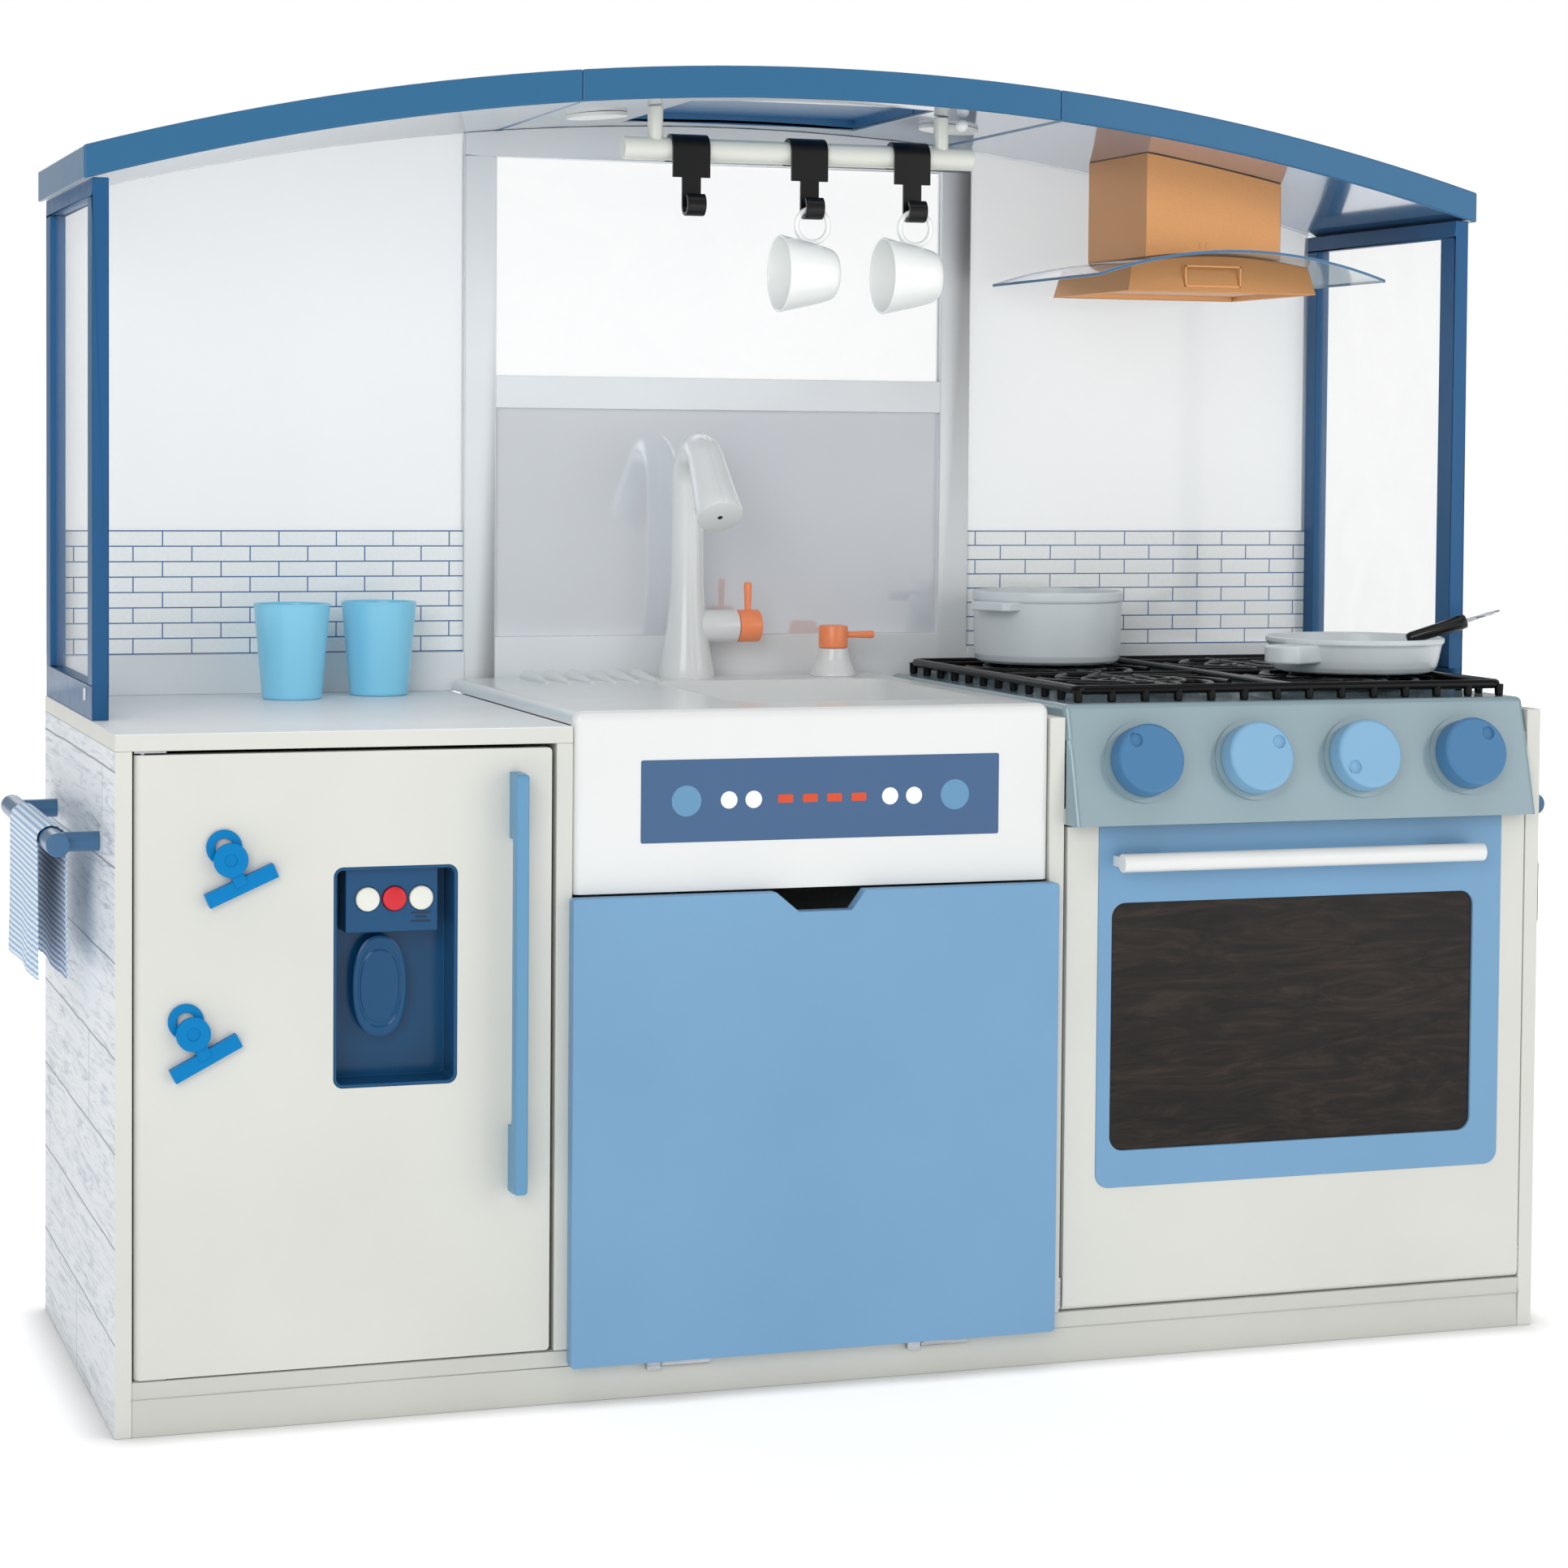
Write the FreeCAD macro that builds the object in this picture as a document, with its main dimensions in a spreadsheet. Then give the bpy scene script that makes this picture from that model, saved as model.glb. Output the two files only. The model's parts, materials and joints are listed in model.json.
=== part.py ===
"""Toy kitchen: fridge, sink with dishwasher, stove with oven, and an arched roof.

Frame: millimetres, +Z up, the front faces -Y, the origin is on the floor under the middle.
Sizes inside each piece are written from the carcass front (Y = 0); the sheet's front_y then
moves every piece so that the whole kitchen is centred on the origin. centre_x does the same
across it, because the towel stands out a little further than the bare rail on the other side.
"""
import FreeCAD, Part
import math
import os
import re
import Sketcher
from FreeCAD import Placement, Rotation, Vector

DIMENSIONS = {
    # whole carcass
    "centre_x": 0.575, "front_y": -179.177, "half_width": 555, "depth": 389, "board": 12,
    "plinth_top": 26.5, "floor_top": 38.5, "low_top": 475.5, "high_top": 487.5,
    "fridge_wall": -242.5, "stove_wall": 138.5, "back_inner": 377, "back_board": 6,
    "rear_plinth": 365,
    # shelves
    "fridge_shelf_level": 206, "shelf_front": 62, "oven_shelf_level": 196, "oven_roof_level": 407,
    # upstands behind the worktops
    "upstand_front": 375, "upstand_top": 519, "frame_half": 220,
    # fridge door
    "fridge_left": -541.5, "fridge_right": -246, "fridge_low": 39.7, "fridge_high": 472.7,
    "door_thick": 12, "door_round": 3, "pivot_radius": 2, "pivot_hole": 2.06, "pivot_depth": 13,
    "pivot_reach": 12, "pivot_y": 6, "fridge_pivot_x": -535.5,
    "recess_left": -403.2, "recess_right": -314.2, "recess_low": 235.7, "recess_high": 391.5,
    "recess_round": 7,
    # fridge handle
    "bar_left": -278, "bar_right": -268, "bar_low": 157, "bar_high": 456, "bar_front": -24,
    "bar_back": -14, "bar_round": 3, "foot_length": 47,
    # water dispenser
    "shell_wall": 2.5, "shell_back": 34, "shell_flange": 8, "block_left": -393, "block_right": -327,
    "block_low": 344, "block_front": 8, "button_radius": 8.5, "button_bore": 8.8, "button_level": 367.5,
    "button_pitch": 19.2, "button_middle": -358.2, "button_front": 5,
    "button_length": 9, "paddle_x": -366, "paddle_z": 304, "paddle_wide": 19.3, "paddle_tall": 36,
    "paddle_front": 19, "paddle_thick": 4,
    # dishwasher door
    "dish_left": -233, "dish_right": 142, "dish_low": 27.5, "dish_high": 365, "dish_front": -12.5,
    "dish_back": -0.5, "notch_left": -80.5, "notch_right": -11.7, "notch_low_left": -63,
    "notch_low_right": -22.2, "notch_low": 350.5, "dish_axis_y": -3.4, "dish_axis_z": 24.6,
    "barrel_radius": 2.6, "barrel_hole": 1.56, "barrel_pin": 1.5, "hinge_block": 10,
    "hinge_left": -174, "hinge_right": 27, "hinge_wide": 47, "hinge_gap": 0.5,
    # oven door
    "oven_left": 153.3, "oven_right": 541.9, "oven_low": 38.9, "oven_high": 405, "oven_axis_z": 44.9,
    "inset_left": 178.7, "inset_right": 521.4, "inset_low": 130.6, "inset_high": 405,
    "inset_front": -0.8, "inset_back": 3, "inset_round": 11, "window_left": 190, "window_right": 497,
    "window_low": 158.5, "window_high": 346.5, "pane_front": 1.5, "pane_back": 4.5,
    "oven_bar_left": 189, "oven_bar_right": 494, "oven_bar_z": 379, "oven_bar_y": -20,
    "oven_bar_radius": 7, "oven_foot": 40,
    # sink
    "sink_left": -230, "sink_right": 138, "sink_back": 374, "apron_low": 366.5, "rim": 498,
    "deck_under": 488, "apron_wall": 10, "bowl_left": -88, "bowl_right": 113, "bowl_front": 62,
    "bowl_back": 300, "bowl_floor": 402, "bowl_wall": 4, "bowl_round": 22, "sink_round": 7,
    "rib_count": 6, "rib_pitch": 18.5, "rib_first": -172, "rib_front": 292, "rib_length": 62,
    "rib_small": 1.6, "rib_large": 7.2,
    # faucet
    "faucet_x": -40, "faucet_y": 346, "faucet_foot": 23.5, "faucet_waist": 13.3, "faucet_neck": 13.5,
    "waist_level": 580, "neck_level": 654.8, "arch_radius": 30, "arch_turn": 140, "spout_length": 56,
    "spout_radius": 18.9, "branch_level": 540, "branch_radius": 13.5, "branch_face": 3,
    "cap_length": 19, "lever_top": 576, "lever_small": 2.5, "lever_large": 3.4,
    "spindle_radius": 5, "spindle_bore": 5.06, "spindle_length": 12, "play": 0.4,
    # second tap
    "tap_x": 87, "tap_y": 343, "tap_foot": 19.4, "tap_neck": 12.5, "tap_level": 521,
    "tap_cap_radius": 12.2, "tap_top": 540, "tap_lever_reach": 36, "tap_lever_level": 532,
    # stove top
    "stove_left": 151, "stove_right": 541.7, "stove_top": 497, "stove_low": 407, "stove_lip": -20,
    "stove_crest": 5, "stove_skin": 3.5, "stove_rear": 374.5, "stove_skirt": 470,
    "stove_shoulder": -0.6, "stove_round": 5,
    # knobs
    "knob_middle": 347, "knob_inner": 45.7, "knob_outer": 137, "knob_level": 453, "knob_radius": 26.5,
    "knob_thick": 17, "knob_edge": 2, "knob_stem": 4, "knob_bore": 4.06, "knob_stem_length": 12,
    "collar_radius": 31, "collar_thick": 2.5, "knob_gap": 0.6, "dimple_radius": 5,
    "dimple_offset": 18, "dimple_depth": 2.5,
    # cooktop grate
    "grate_left": 165, "grate_right": 532.5, "grate_front": 16, "grate_back": 372, "grate_top": 510,
    "grate_bar": 7.5, "grate_legs": 14, "grate_side_legs": 12, "burner_radius": 42,
    # side windows
    "window_outer": 554, "window_inner": 542, "window_front": 123, "sill_top": 512, "post_depth": 24,
    "post_top": 863, "rail_top": 876, "clear_thick": 2,
    # back frame and panes
    "frame_front": 377, "frame_post": 26, "frame_sill": 531, "crossbar_low": 718,
    "crossbar_high": 744.5, "frame_head": 922, "pane_y": 382, "pane_thick": 3,
    # roof
    "roof_half": 560, "roof_front": 120.3, "roof_rear": 391.5, "roof_radius": 2054, "roof_apex": 976.5,
    "roof_under": 952.4, "roof_skin": 3, "roof_seam": 193, "lamp_x": 147, "lamp_y": 245,
    "lamp_radius": 24, "lamp_thick": 3, "well_half": 100, "well_front": 150, "well_back": 340,
    "lamp_knob_x": 134, "lamp_knob_y": 182, "lamp_knob_radius": 5,
    # range hood
    "flue_left": 305, "flue_right": 426, "flue_front": 205, "flue_back": 323, "hood_left": 281,
    "hood_right": 450, "hood_front": 187, "hood_back": 341, "hood_low": 816, "hood_taper": 8,
    "hood_skin": 3, "filter_thick": 2, "filter_lift": 4,
    "visor_left": 238.5, "visor_right": 492, "visor_front": 147, "visor_back": 372,
    "visor_radius": 395, "visor_peak": 849, "visor_thick": 2.5,
    # utensil rail, hooks and mugs
    "rail_y": 185, "rail_z": 916, "rail_half": 143.5, "rail_radius": 8.8, "drop_x": 117.5,
    "drop_radius": 6, "hook_one": -91.5, "hook_two": 4.5, "hook_three": 89.7, "hook_wide": 30,
    "hook_neck": 15, "hook_thick": 2.8, "hook_gap": 0.3, "hook_plate_low": 894, "curl_z": 873,
    "curl_radius": 9, "mug_mouth": 30, "mug_base": 21, "mug_length": 46, "mug_wall": 2, "mug_axis": 822,
    "mug_ring": 13, "mug_tube": 2.2, "mug_ring_z": 859.4, "mug_lead": 27,
    # side rails, towel, plate
    "towel_rail_x": 586, "towel_rail_z": 406, "towel_rail_radius": 8.5, "towel_rail_front": 57,
    "towel_rail_back": 343, "towel_post_front": 79, "towel_post_back": 316, "towel_post_radius": 7,
    "towel_thick": 1.6, "towel_gap": 0.25, "towel_drop": 100, "towel_front": 98, "towel_back": 258,
    "plate_front": 4, "plate_back": 58, "plate_low": 316, "plate_high": 370, "plate_thick": 3,
    # loose pieces
    "cup_top": 30, "cup_base": 23, "cup_high": 75, "cup_wall": 1.6,
    "pot_x": 262, "pot_y": 300, "pot_radius": 63, "pot_high": 60, "pot_wall": 2.5, "pot_lip": 1.2,
    "lip_tall": 8, "pot_lug_root": 50, "pot_lug_end": 76, "pot_lug_half": 21, "pot_turn": 26,
    "pan_x": 465, "pan_y": 140, "pan_top": 72, "pan_base": 65, "pan_high": 28, "pan_wall": 2.5,
    "pan_lug_root": 60, "pan_lug_end": 104, "pan_lug_half": 17, "pan_lug_low": 8, "pan_lug_high": 24,
    "pan_turn": 205,
    "turner_x": 501.7, "turner_y": 120, "turner_z": 536.3, "turner_grip": 50, "turner_small": 5,
    "turner_large": 6, "shaft_radius": 1.6, "blade_start": 58, "blade_end": 78, "blade_half": 8,
    "blade_thick": 1.6, "slot_start": 62, "slot_end": 74, "slot_half": 1.2, "slot_pitch": 4,
    "turner_yaw": -22, "turner_lean": -18,
    # clips
    "clip_bar": 52, "clip_bar_tall": 10.5, "clip_head": 12, "clip_head_v": 20, "clip_ring": 12.5,
    "clip_ring_hole": 6.5, "clip_ring_v": 29, "clip_thick": 3, "clip_gap": 0.4, "clip_neck": 9,
    "clip_pivot": 11, "clip_relief": 2, "clip_front": 7.4,
}

doc = FreeCAD.newDocument("ToyKitchen")
sheet = doc.addObject("Spreadsheet::Sheet", "dims")
for row, (alias, number) in enumerate(DIMENSIONS.items(), 1):
    sheet.set("A%d" % row, alias)
    sheet.set("B%d" % row, str(number))
    sheet.setAlias("B%d" % row, alias)
doc.recompute()

subparts = {}


def formula(text):
    """An expression of the document, with each word that the sheet knows read from the sheet."""
    def cell(match):
        word = match.group(0)
        return "dims." + word if word in DIMENSIONS else word
    return re.sub(r"[a-z_]+", cell, str(text))


def value(text):
    """The number that an expression has now."""
    result = sheet.evalExpression(formula(text))
    return float(getattr(result, "Value", result))


def bind(thing, prop, text):
    thing.setExpression(prop, formula(text))


def place(thing, where, turn=None):
    """Put a piece at a point given as three expressions, with an optional turn."""
    if turn is not None:
        thing.Placement = Placement(Vector(0, 0, 0), turn)
    for axis, text in zip("xyz", where):
        bind(thing, "Placement.Base." + axis, text)
    return thing


def publish(label, thing):
    """Name a finished piece and move it from the carcass front to the kitchen's own frame."""
    if isinstance(thing, list):
        group = doc.addObject("Part::Compound", label)
        group.Links = thing
        thing = group
    own = dict(thing.ExpressionEngine)
    for axis, shift in (("x", "centre_x"), ("y", "front_y")):
        cell = ".Placement.Base." + axis
        thing.setExpression(cell[1:], "dims.%s + (%s)" % (shift, own.get(cell, "0")))
    thing.Label = label
    subparts[label] = thing
    return thing


# ---- builders for the shapes that repeat ----

def block(name, xs, ys, zs):
    """A straight board or bar between two faces along each axis."""
    box = doc.addObject("Part::Box", name)
    for prop, (low, high) in zip(("Length", "Width", "Height"), (xs, ys, zs)):
        bind(box, prop, "(%s) - (%s)" % (high, low))
    return place(box, (xs[0], ys[0], zs[0]))


TURNS = {"x": Rotation(Vector(0, 1, 0), 90), "y": Rotation(Vector(1, 0, 0), -90), "z": Rotation()}


def rod(name, where, along, length, radius, radius_far=None):
    """A round bar, or a cone when the far radius differs, from a point along an axis."""
    if radius_far is None:
        bar = doc.addObject("Part::Cylinder", name)
        bind(bar, "Radius", radius)
    else:
        bar = doc.addObject("Part::Cone", name)
        bind(bar, "Radius1", radius)
        bind(bar, "Radius2", radius_far)
    bind(bar, "Height", length)
    return place(bar, where, TURNS[along])


def ring(name, where, along, radius, tube):
    torus = doc.addObject("Part::Torus", name)
    bind(torus, "Radius1", radius)
    bind(torus, "Radius2", tube)
    return place(torus, where, TURNS[along])


def join(name, pieces):
    whole = doc.addObject("Part::MultiFuse", name)
    whole.Shapes = pieces
    whole.Refine = True
    return whole


def cut(name, base, *tools):
    if len(tools) > 1:
        whole = doc.addObject("Part::Compound", name + "_tools")
        whole.Links = list(tools)
    else:
        whole = tools[0]
    result = doc.addObject("Part::Cut", name)
    result.Base = base
    result.Tool = whole
    return result


def both(name, first, second):
    result = doc.addObject("Part::Common", name)
    result.Base = first
    result.Tool = second
    return result


def straight(edge, axis):
    """True for a straight edge that runs along the named axis."""
    if not isinstance(edge.Curve, Part.Line):
        return False
    run = edge.Vertexes[-1].Point - edge.Vertexes[0].Point
    return abs(getattr(run, axis)) > 0.999 * run.Length


def soften(name, base, radius, wanted):
    """Round every edge of a piece that the test accepts."""
    doc.recompute()
    size = value(radius)
    result = doc.addObject("Part::Fillet", name)
    result.Base = base
    result.Edges = [(i, size, size) for i, edge in enumerate(base.Shape.Edges, 1) if wanted(edge)]
    return result


def plane(body, role):
    return next(part for part in body.Origin.OriginFeatures if part.Role == role)


def outline(body, name, role, corners):
    """A closed sketch through corners, each a pair of expressions held by its own constraints."""
    sketch = body.newObject("Sketcher::SketchObject", name)
    sketch.AttachmentSupport = [(plane(body, role), "")]
    sketch.MapMode = "FlatFace"
    points = [Vector(value(u), value(v), 0) for u, v in corners]
    count = len(points)
    for i in range(count):
        sketch.addGeometry(Part.LineSegment(points[i], points[(i + 1) % count]), False)
    for i in range(count):
        sketch.addConstraint(Sketcher.Constraint("Coincident", i, 2, (i + 1) % count, 1))
    for i, pair in enumerate(corners):
        for kind, text in zip(("DistanceX", "DistanceY"), pair):
            index = sketch.addConstraint(Sketcher.Constraint(kind, -1, 1, i, 1, value(text)))
            sketch.renameConstraint(index, "%s_%d" % (kind, i))
            bind(sketch, "Constraints.%s_%d" % (kind, i), text)
    return sketch


def turned(name, corners):
    """A lathe-turned piece about +Z; corners are pairs of radius and height."""
    body = doc.addObject("PartDesign::Body", name)
    sketch = outline(body, name + "_profile", "XZ_Plane", corners)
    turn = body.newObject("PartDesign::Revolution", name + "_turn")
    turn.Profile = sketch
    turn.ReferenceAxis = (sketch, ["V_Axis"])
    turn.Angle = 360
    body.Tip = turn
    return body


def padded(body, name, role, corners, thickness, backwards=False):
    sketch = outline(body, name + "_outline", role, corners)
    pad = body.newObject("PartDesign::Pad", name)
    pad.Profile = sketch
    bind(pad, "Length", thickness)
    pad.Reversed = backwards
    body.Tip = pad
    return pad


# ---- carcass ----

def make_carcass():
    inner = "half_width - board"
    publish("left_side_panel", block("left_panel", ("-half_width", "-half_width + board"),
                                     ("0", "depth"), ("0", "low_top")))
    publish("right_side_panel", block("right_panel", (inner, "half_width"), ("0", "depth"),
                                      ("0", "high_top")))
    publish("base_boards", [
        block("front_plinth", ("-(%s)" % inner, inner), ("0", "board"), ("0", "plinth_top")),
        block("rear_plinth_rail", ("-(%s)" % inner, inner), ("rear_plinth", "back_inner"),
              ("0", "plinth_top")),
        block("fridge_floor", ("-(%s)" % inner, "fridge_wall"), ("0", "back_inner"),
              ("plinth_top", "floor_top")),
        block("main_floor", ("fridge_wall", inner), ("0", "back_inner"), ("plinth_top", "floor_top")),
    ])
    publish("inner_boards", [
        block("fridge_divider", ("fridge_wall", "fridge_wall + board"), ("0", "back_inner"),
              ("floor_top", "low_top")),
        block("stove_divider", ("stove_wall", "stove_wall + board"), ("0", "back_inner"),
              ("floor_top", "high_top")),
        block("fridge_shelf", ("-(%s)" % inner, "fridge_wall"), ("shelf_front", "back_inner"),
              ("fridge_shelf_level", "fridge_shelf_level + board")),
        block("oven_shelf", ("stove_wall + board", inner), ("shelf_front", "back_inner"),
              ("oven_shelf_level", "oven_shelf_level + board")),
        block("oven_roof", ("stove_wall + board", inner), ("0", "back_inner"),
              ("oven_roof_level", "oven_roof_level + board")),
    ])
    publish("fridge_worktop", block("worktop", ("-half_width", "fridge_wall + board"), ("0", "depth"),
                                    ("low_top", "high_top")))
    publish("back_boards", [
        block("rear_board", ("-(%s)" % inner, inner), ("back_inner", "back_inner + back_board"),
              ("0", "low_top")),
        block("left_upstand", ("-window_inner", "-frame_half"), ("upstand_front", "depth"),
              ("high_top", "upstand_top")),
        block("right_upstand", ("frame_half", "window_inner"), ("upstand_front", "depth"),
              ("low_top", "upstand_top")),
    ])


# ---- doors ----

def rounded_hole(name, xs, ys, zs, radius):
    """A cutter whose corners are rounded in the door's face."""
    blank = block(name + "_blank", xs, ys, zs)
    return soften(name, blank, radius, lambda edge: straight(edge, "y"))


def make_fridge_door():
    blank = block("fridge_blank", ("fridge_left", "fridge_right"), ("0", "door_thick"),
                  ("fridge_low", "fridge_high"))
    hinge_side = value("fridge_left")
    edged = soften("fridge_round_edge", blank, "door_thick / 2 - 0.01",
                   lambda edge: straight(edge, "z") and abs(edge.CenterOfMass.x - hinge_side) < 1)
    handle_side = value("fridge_right")
    cornered = soften("fridge_corners", edged, "door_round",
                      lambda edge: straight(edge, "y") and abs(edge.CenterOfMass.x - handle_side) < 1)
    opening = rounded_hole("recess_cutter", ("recess_left", "recess_right"),
                           ("-1", "door_thick + 1"), ("recess_low", "recess_high"), "recess_round")
    bottom = rod("fridge_bore_low", ("fridge_pivot_x", "pivot_y", "fridge_low - 1"), "z",
                 "pivot_depth + 1", "pivot_hole")
    top = rod("fridge_bore_high", ("fridge_pivot_x", "pivot_y", "fridge_high - pivot_depth"), "z",
              "pivot_depth + 1", "pivot_hole")
    publish("fridge_door", cut("fridge_slab", cornered, opening, bottom, top))

    grip = block("fridge_bar", ("bar_left", "bar_right"), ("bar_front", "bar_back"),
                 ("bar_low", "bar_high"))
    grip = soften("fridge_bar_soft", grip, "bar_round",
                  lambda edge: abs(edge.CenterOfMass.y - value("bar_back")) > 1)
    feet = [
        block("fridge_foot_low", ("bar_left + 1", "bar_right - 1"), ("bar_back - 1", "0"),
              ("bar_low", "bar_low + foot_length")),
        block("fridge_foot_high", ("bar_left + 1", "bar_right - 1"), ("bar_back - 1", "0"),
              ("bar_high - foot_length", "bar_high")),
    ]
    publish("fridge_handle", join("fridge_handle_whole", [grip] + feet))


def make_dispenser():
    """The moulded water and ice recess that sits in the fridge door, and what moves in it."""
    wall = "shell_wall"
    shell = rounded_hole("shell_outer", ("recess_left", "recess_right"), ("0.6", "shell_back"),
                         ("recess_low", "recess_high"), "recess_round")
    flange = block("shell_rim", ("recess_left - shell_flange", "recess_right + shell_flange"),
                   ("door_thick", "door_thick + shell_wall"),
                   ("recess_low - shell_flange", "recess_high + shell_flange"))
    hollow = rounded_hole("shell_hollow", ("recess_left + " + wall, "recess_right - " + wall),
                          ("-1", "shell_back - " + wall),
                          ("recess_low + " + wall, "recess_high - " + wall), "recess_round - " + wall)
    front = block("shell_block", ("block_left", "block_right"), ("block_front", "shell_back - 1"),
                  ("block_low", "recess_high - 1"))
    cup = cut("shell_cup", join("shell_body", [shell, flange]), hollow)
    whole = join("shell_whole", [cup, front])
    holes = [
        rod("button_hole_%d" % i, ("button_middle + (%d) * button_pitch" % i, "-1", "button_level"),
            "y", "shell_back - 2", "button_bore")
        for i in (-1, 0, 1)
    ]
    publish("dispenser_shell", cut("shell_drilled", whole, *holes))
    for i, name in ((-1, "water_button"), (0, "lock_button"), (1, "ice_button")):
        cap = rod(name + "_cap", ("button_middle + (%d) * button_pitch" % i, "button_front",
                                  "button_level"), "y", "button_length", "button_radius")
        cap = soften(name + "_soft", cap, "1.2",
                     lambda edge: edge.CenterOfMass.y < value("button_front") + 1 and edge.isClosed())
        publish(name, cap)
    paddle = doc.addObject("Part::Ellipse", "paddle_edge")
    bind(paddle, "MajorRadius", "paddle_tall")
    bind(paddle, "MinorRadius", "paddle_wide")
    plate = doc.addObject("Part::Extrusion", "paddle_plate")
    plate.Base = paddle
    plate.DirMode = "Custom"
    plate.Dir = Vector(0, 0, 1)
    bind(plate, "LengthFwd", "paddle_thick")
    plate.Solid = True
    upright = Rotation(Vector(0, 0, 1), Vector(1, 0, 0), Vector(0, 1, 0), "ZXY")
    place(plate, ("paddle_x", "paddle_front", "paddle_z"), upright)
    publish("dispenser_paddle", plate)


def make_dishwasher_door():
    body = doc.addObject("PartDesign::Body", "dish_slab")
    corners = [
        ("dish_left", "dish_low"), ("dish_right", "dish_low"), ("dish_right", "dish_high"),
        ("notch_right", "dish_high"), ("notch_low_right", "notch_low"),
        ("notch_low_left", "notch_low"), ("notch_left", "dish_high"), ("dish_left", "dish_high"),
    ]
    padded(body, "dish_pad", "XZ_Plane", corners, "dish_back - dish_front")
    place(body, ("0", "dish_back", "0"))
    outer = (value("dish_left"), value("dish_right"))
    door = soften("dish_round", body, "door_round",
                  lambda edge: straight(edge, "y") and min(abs(edge.CenterOfMass.x - x) for x in outer) < 1)
    publish("dishwasher_door", door)

    leaves = []
    pins = []
    for side in ("left", "right"):
        start = "hinge_" + side
        inner = start + " + hinge_block + hinge_gap"
        leaf = rod("leaf_barrel_" + side, (inner, "dish_axis_y", "dish_axis_z"), "x",
                   "hinge_wide - hinge_block - hinge_gap", "barrel_radius")
        tongue = block("leaf_tongue_" + side, (inner, start + " + hinge_wide"),
                       ("dish_front + 2", "dish_axis_y"), ("dish_low - 1.2", "dish_low"))
        hole = rod("leaf_hole_" + side, (inner + " - 1", "dish_axis_y", "dish_axis_z"), "x",
                   "hinge_wide", "barrel_hole")
        leaves.append(cut("leaf_" + side, join("leaf_solid_" + side, [leaf, tongue]), hole))
        mount = block("hinge_mount_" + side, (start, start + " + hinge_block"),
                      ("dish_axis_y - 2", "0"), ("dish_axis_z - 4", "dish_axis_z + 1.6"))
        pin = rod("hinge_pin_" + side, (start, "dish_axis_y", "dish_axis_z"), "x", "hinge_wide",
                  "barrel_pin")
        pins.append(join("hinge_fixed_" + side, [mount, pin]))
    publish("dishwasher_hinge_leaves", leaves)
    return pins


def make_oven_door():
    blank = block("oven_blank", ("oven_left", "oven_right"), ("0", "door_thick"),
                  ("oven_low", "oven_high"))
    lower = value("oven_low")
    edged = soften("oven_round_edge", blank, "door_thick / 2 - 0.01",
                   lambda edge: straight(edge, "x") and abs(edge.CenterOfMass.z - lower) < 1)
    opening = rounded_hole("oven_cutter", ("window_left", "window_right"), ("-2", "door_thick + 1"),
                           ("window_low", "window_high"), "inset_round")
    foot_level = value("inset_low")
    seat = soften("inset_seat", block("inset_seat_blank", ("inset_left", "inset_right"),
                                      ("-2", "inset_back"), ("inset_low", "oven_high + 1")),
                  "inset_round",
                  lambda edge: straight(edge, "y") and abs(edge.CenterOfMass.z - foot_level) < 1)
    bores = [
        rod("oven_bore_left", ("oven_left - 1", "pivot_y", "oven_axis_z"), "x", "pivot_depth + 1",
            "pivot_hole"),
        rod("oven_bore_right", ("oven_right - pivot_depth", "pivot_y", "oven_axis_z"), "x",
            "pivot_depth + 1", "pivot_hole"),
    ]
    publish("oven_door", cut("oven_slab", edged, opening, seat, *bores))

    panel = soften("inset_panel", block("inset_panel_blank", ("inset_left", "inset_right"),
                                        ("inset_front", "inset_back"), ("inset_low", "inset_high")),
                   "inset_round",
                   lambda edge: straight(edge, "y") and abs(edge.CenterOfMass.z - foot_level) < 1)
    light = rounded_hole("inset_light", ("window_left", "window_right"), ("-2", "door_thick"),
                         ("window_low", "window_high"), "inset_round")
    publish("oven_inset", cut("inset_frame", panel, light))
    publish("oven_window", rounded_hole("oven_pane", ("window_left", "window_right"),
                                        ("pane_front", "pane_back"), ("window_low", "window_high"),
                                        "inset_round"))
    bar = rod("oven_bar", ("oven_bar_left", "oven_bar_y", "oven_bar_z"), "x",
              "oven_bar_right - oven_bar_left", "oven_bar_radius")
    feet = [
        block("oven_foot_left", ("oven_bar_left + 1", "oven_bar_left + oven_foot"),
              ("oven_bar_y", "inset_front"), ("oven_bar_z - 4", "oven_bar_z + 4")),
        block("oven_foot_right", ("oven_bar_right - oven_foot", "oven_bar_right - 1"),
              ("oven_bar_y", "inset_front"), ("oven_bar_z - 4", "oven_bar_z + 4")),
    ]
    publish("oven_handle", join("oven_handle_whole", [bar] + feet))


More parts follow.
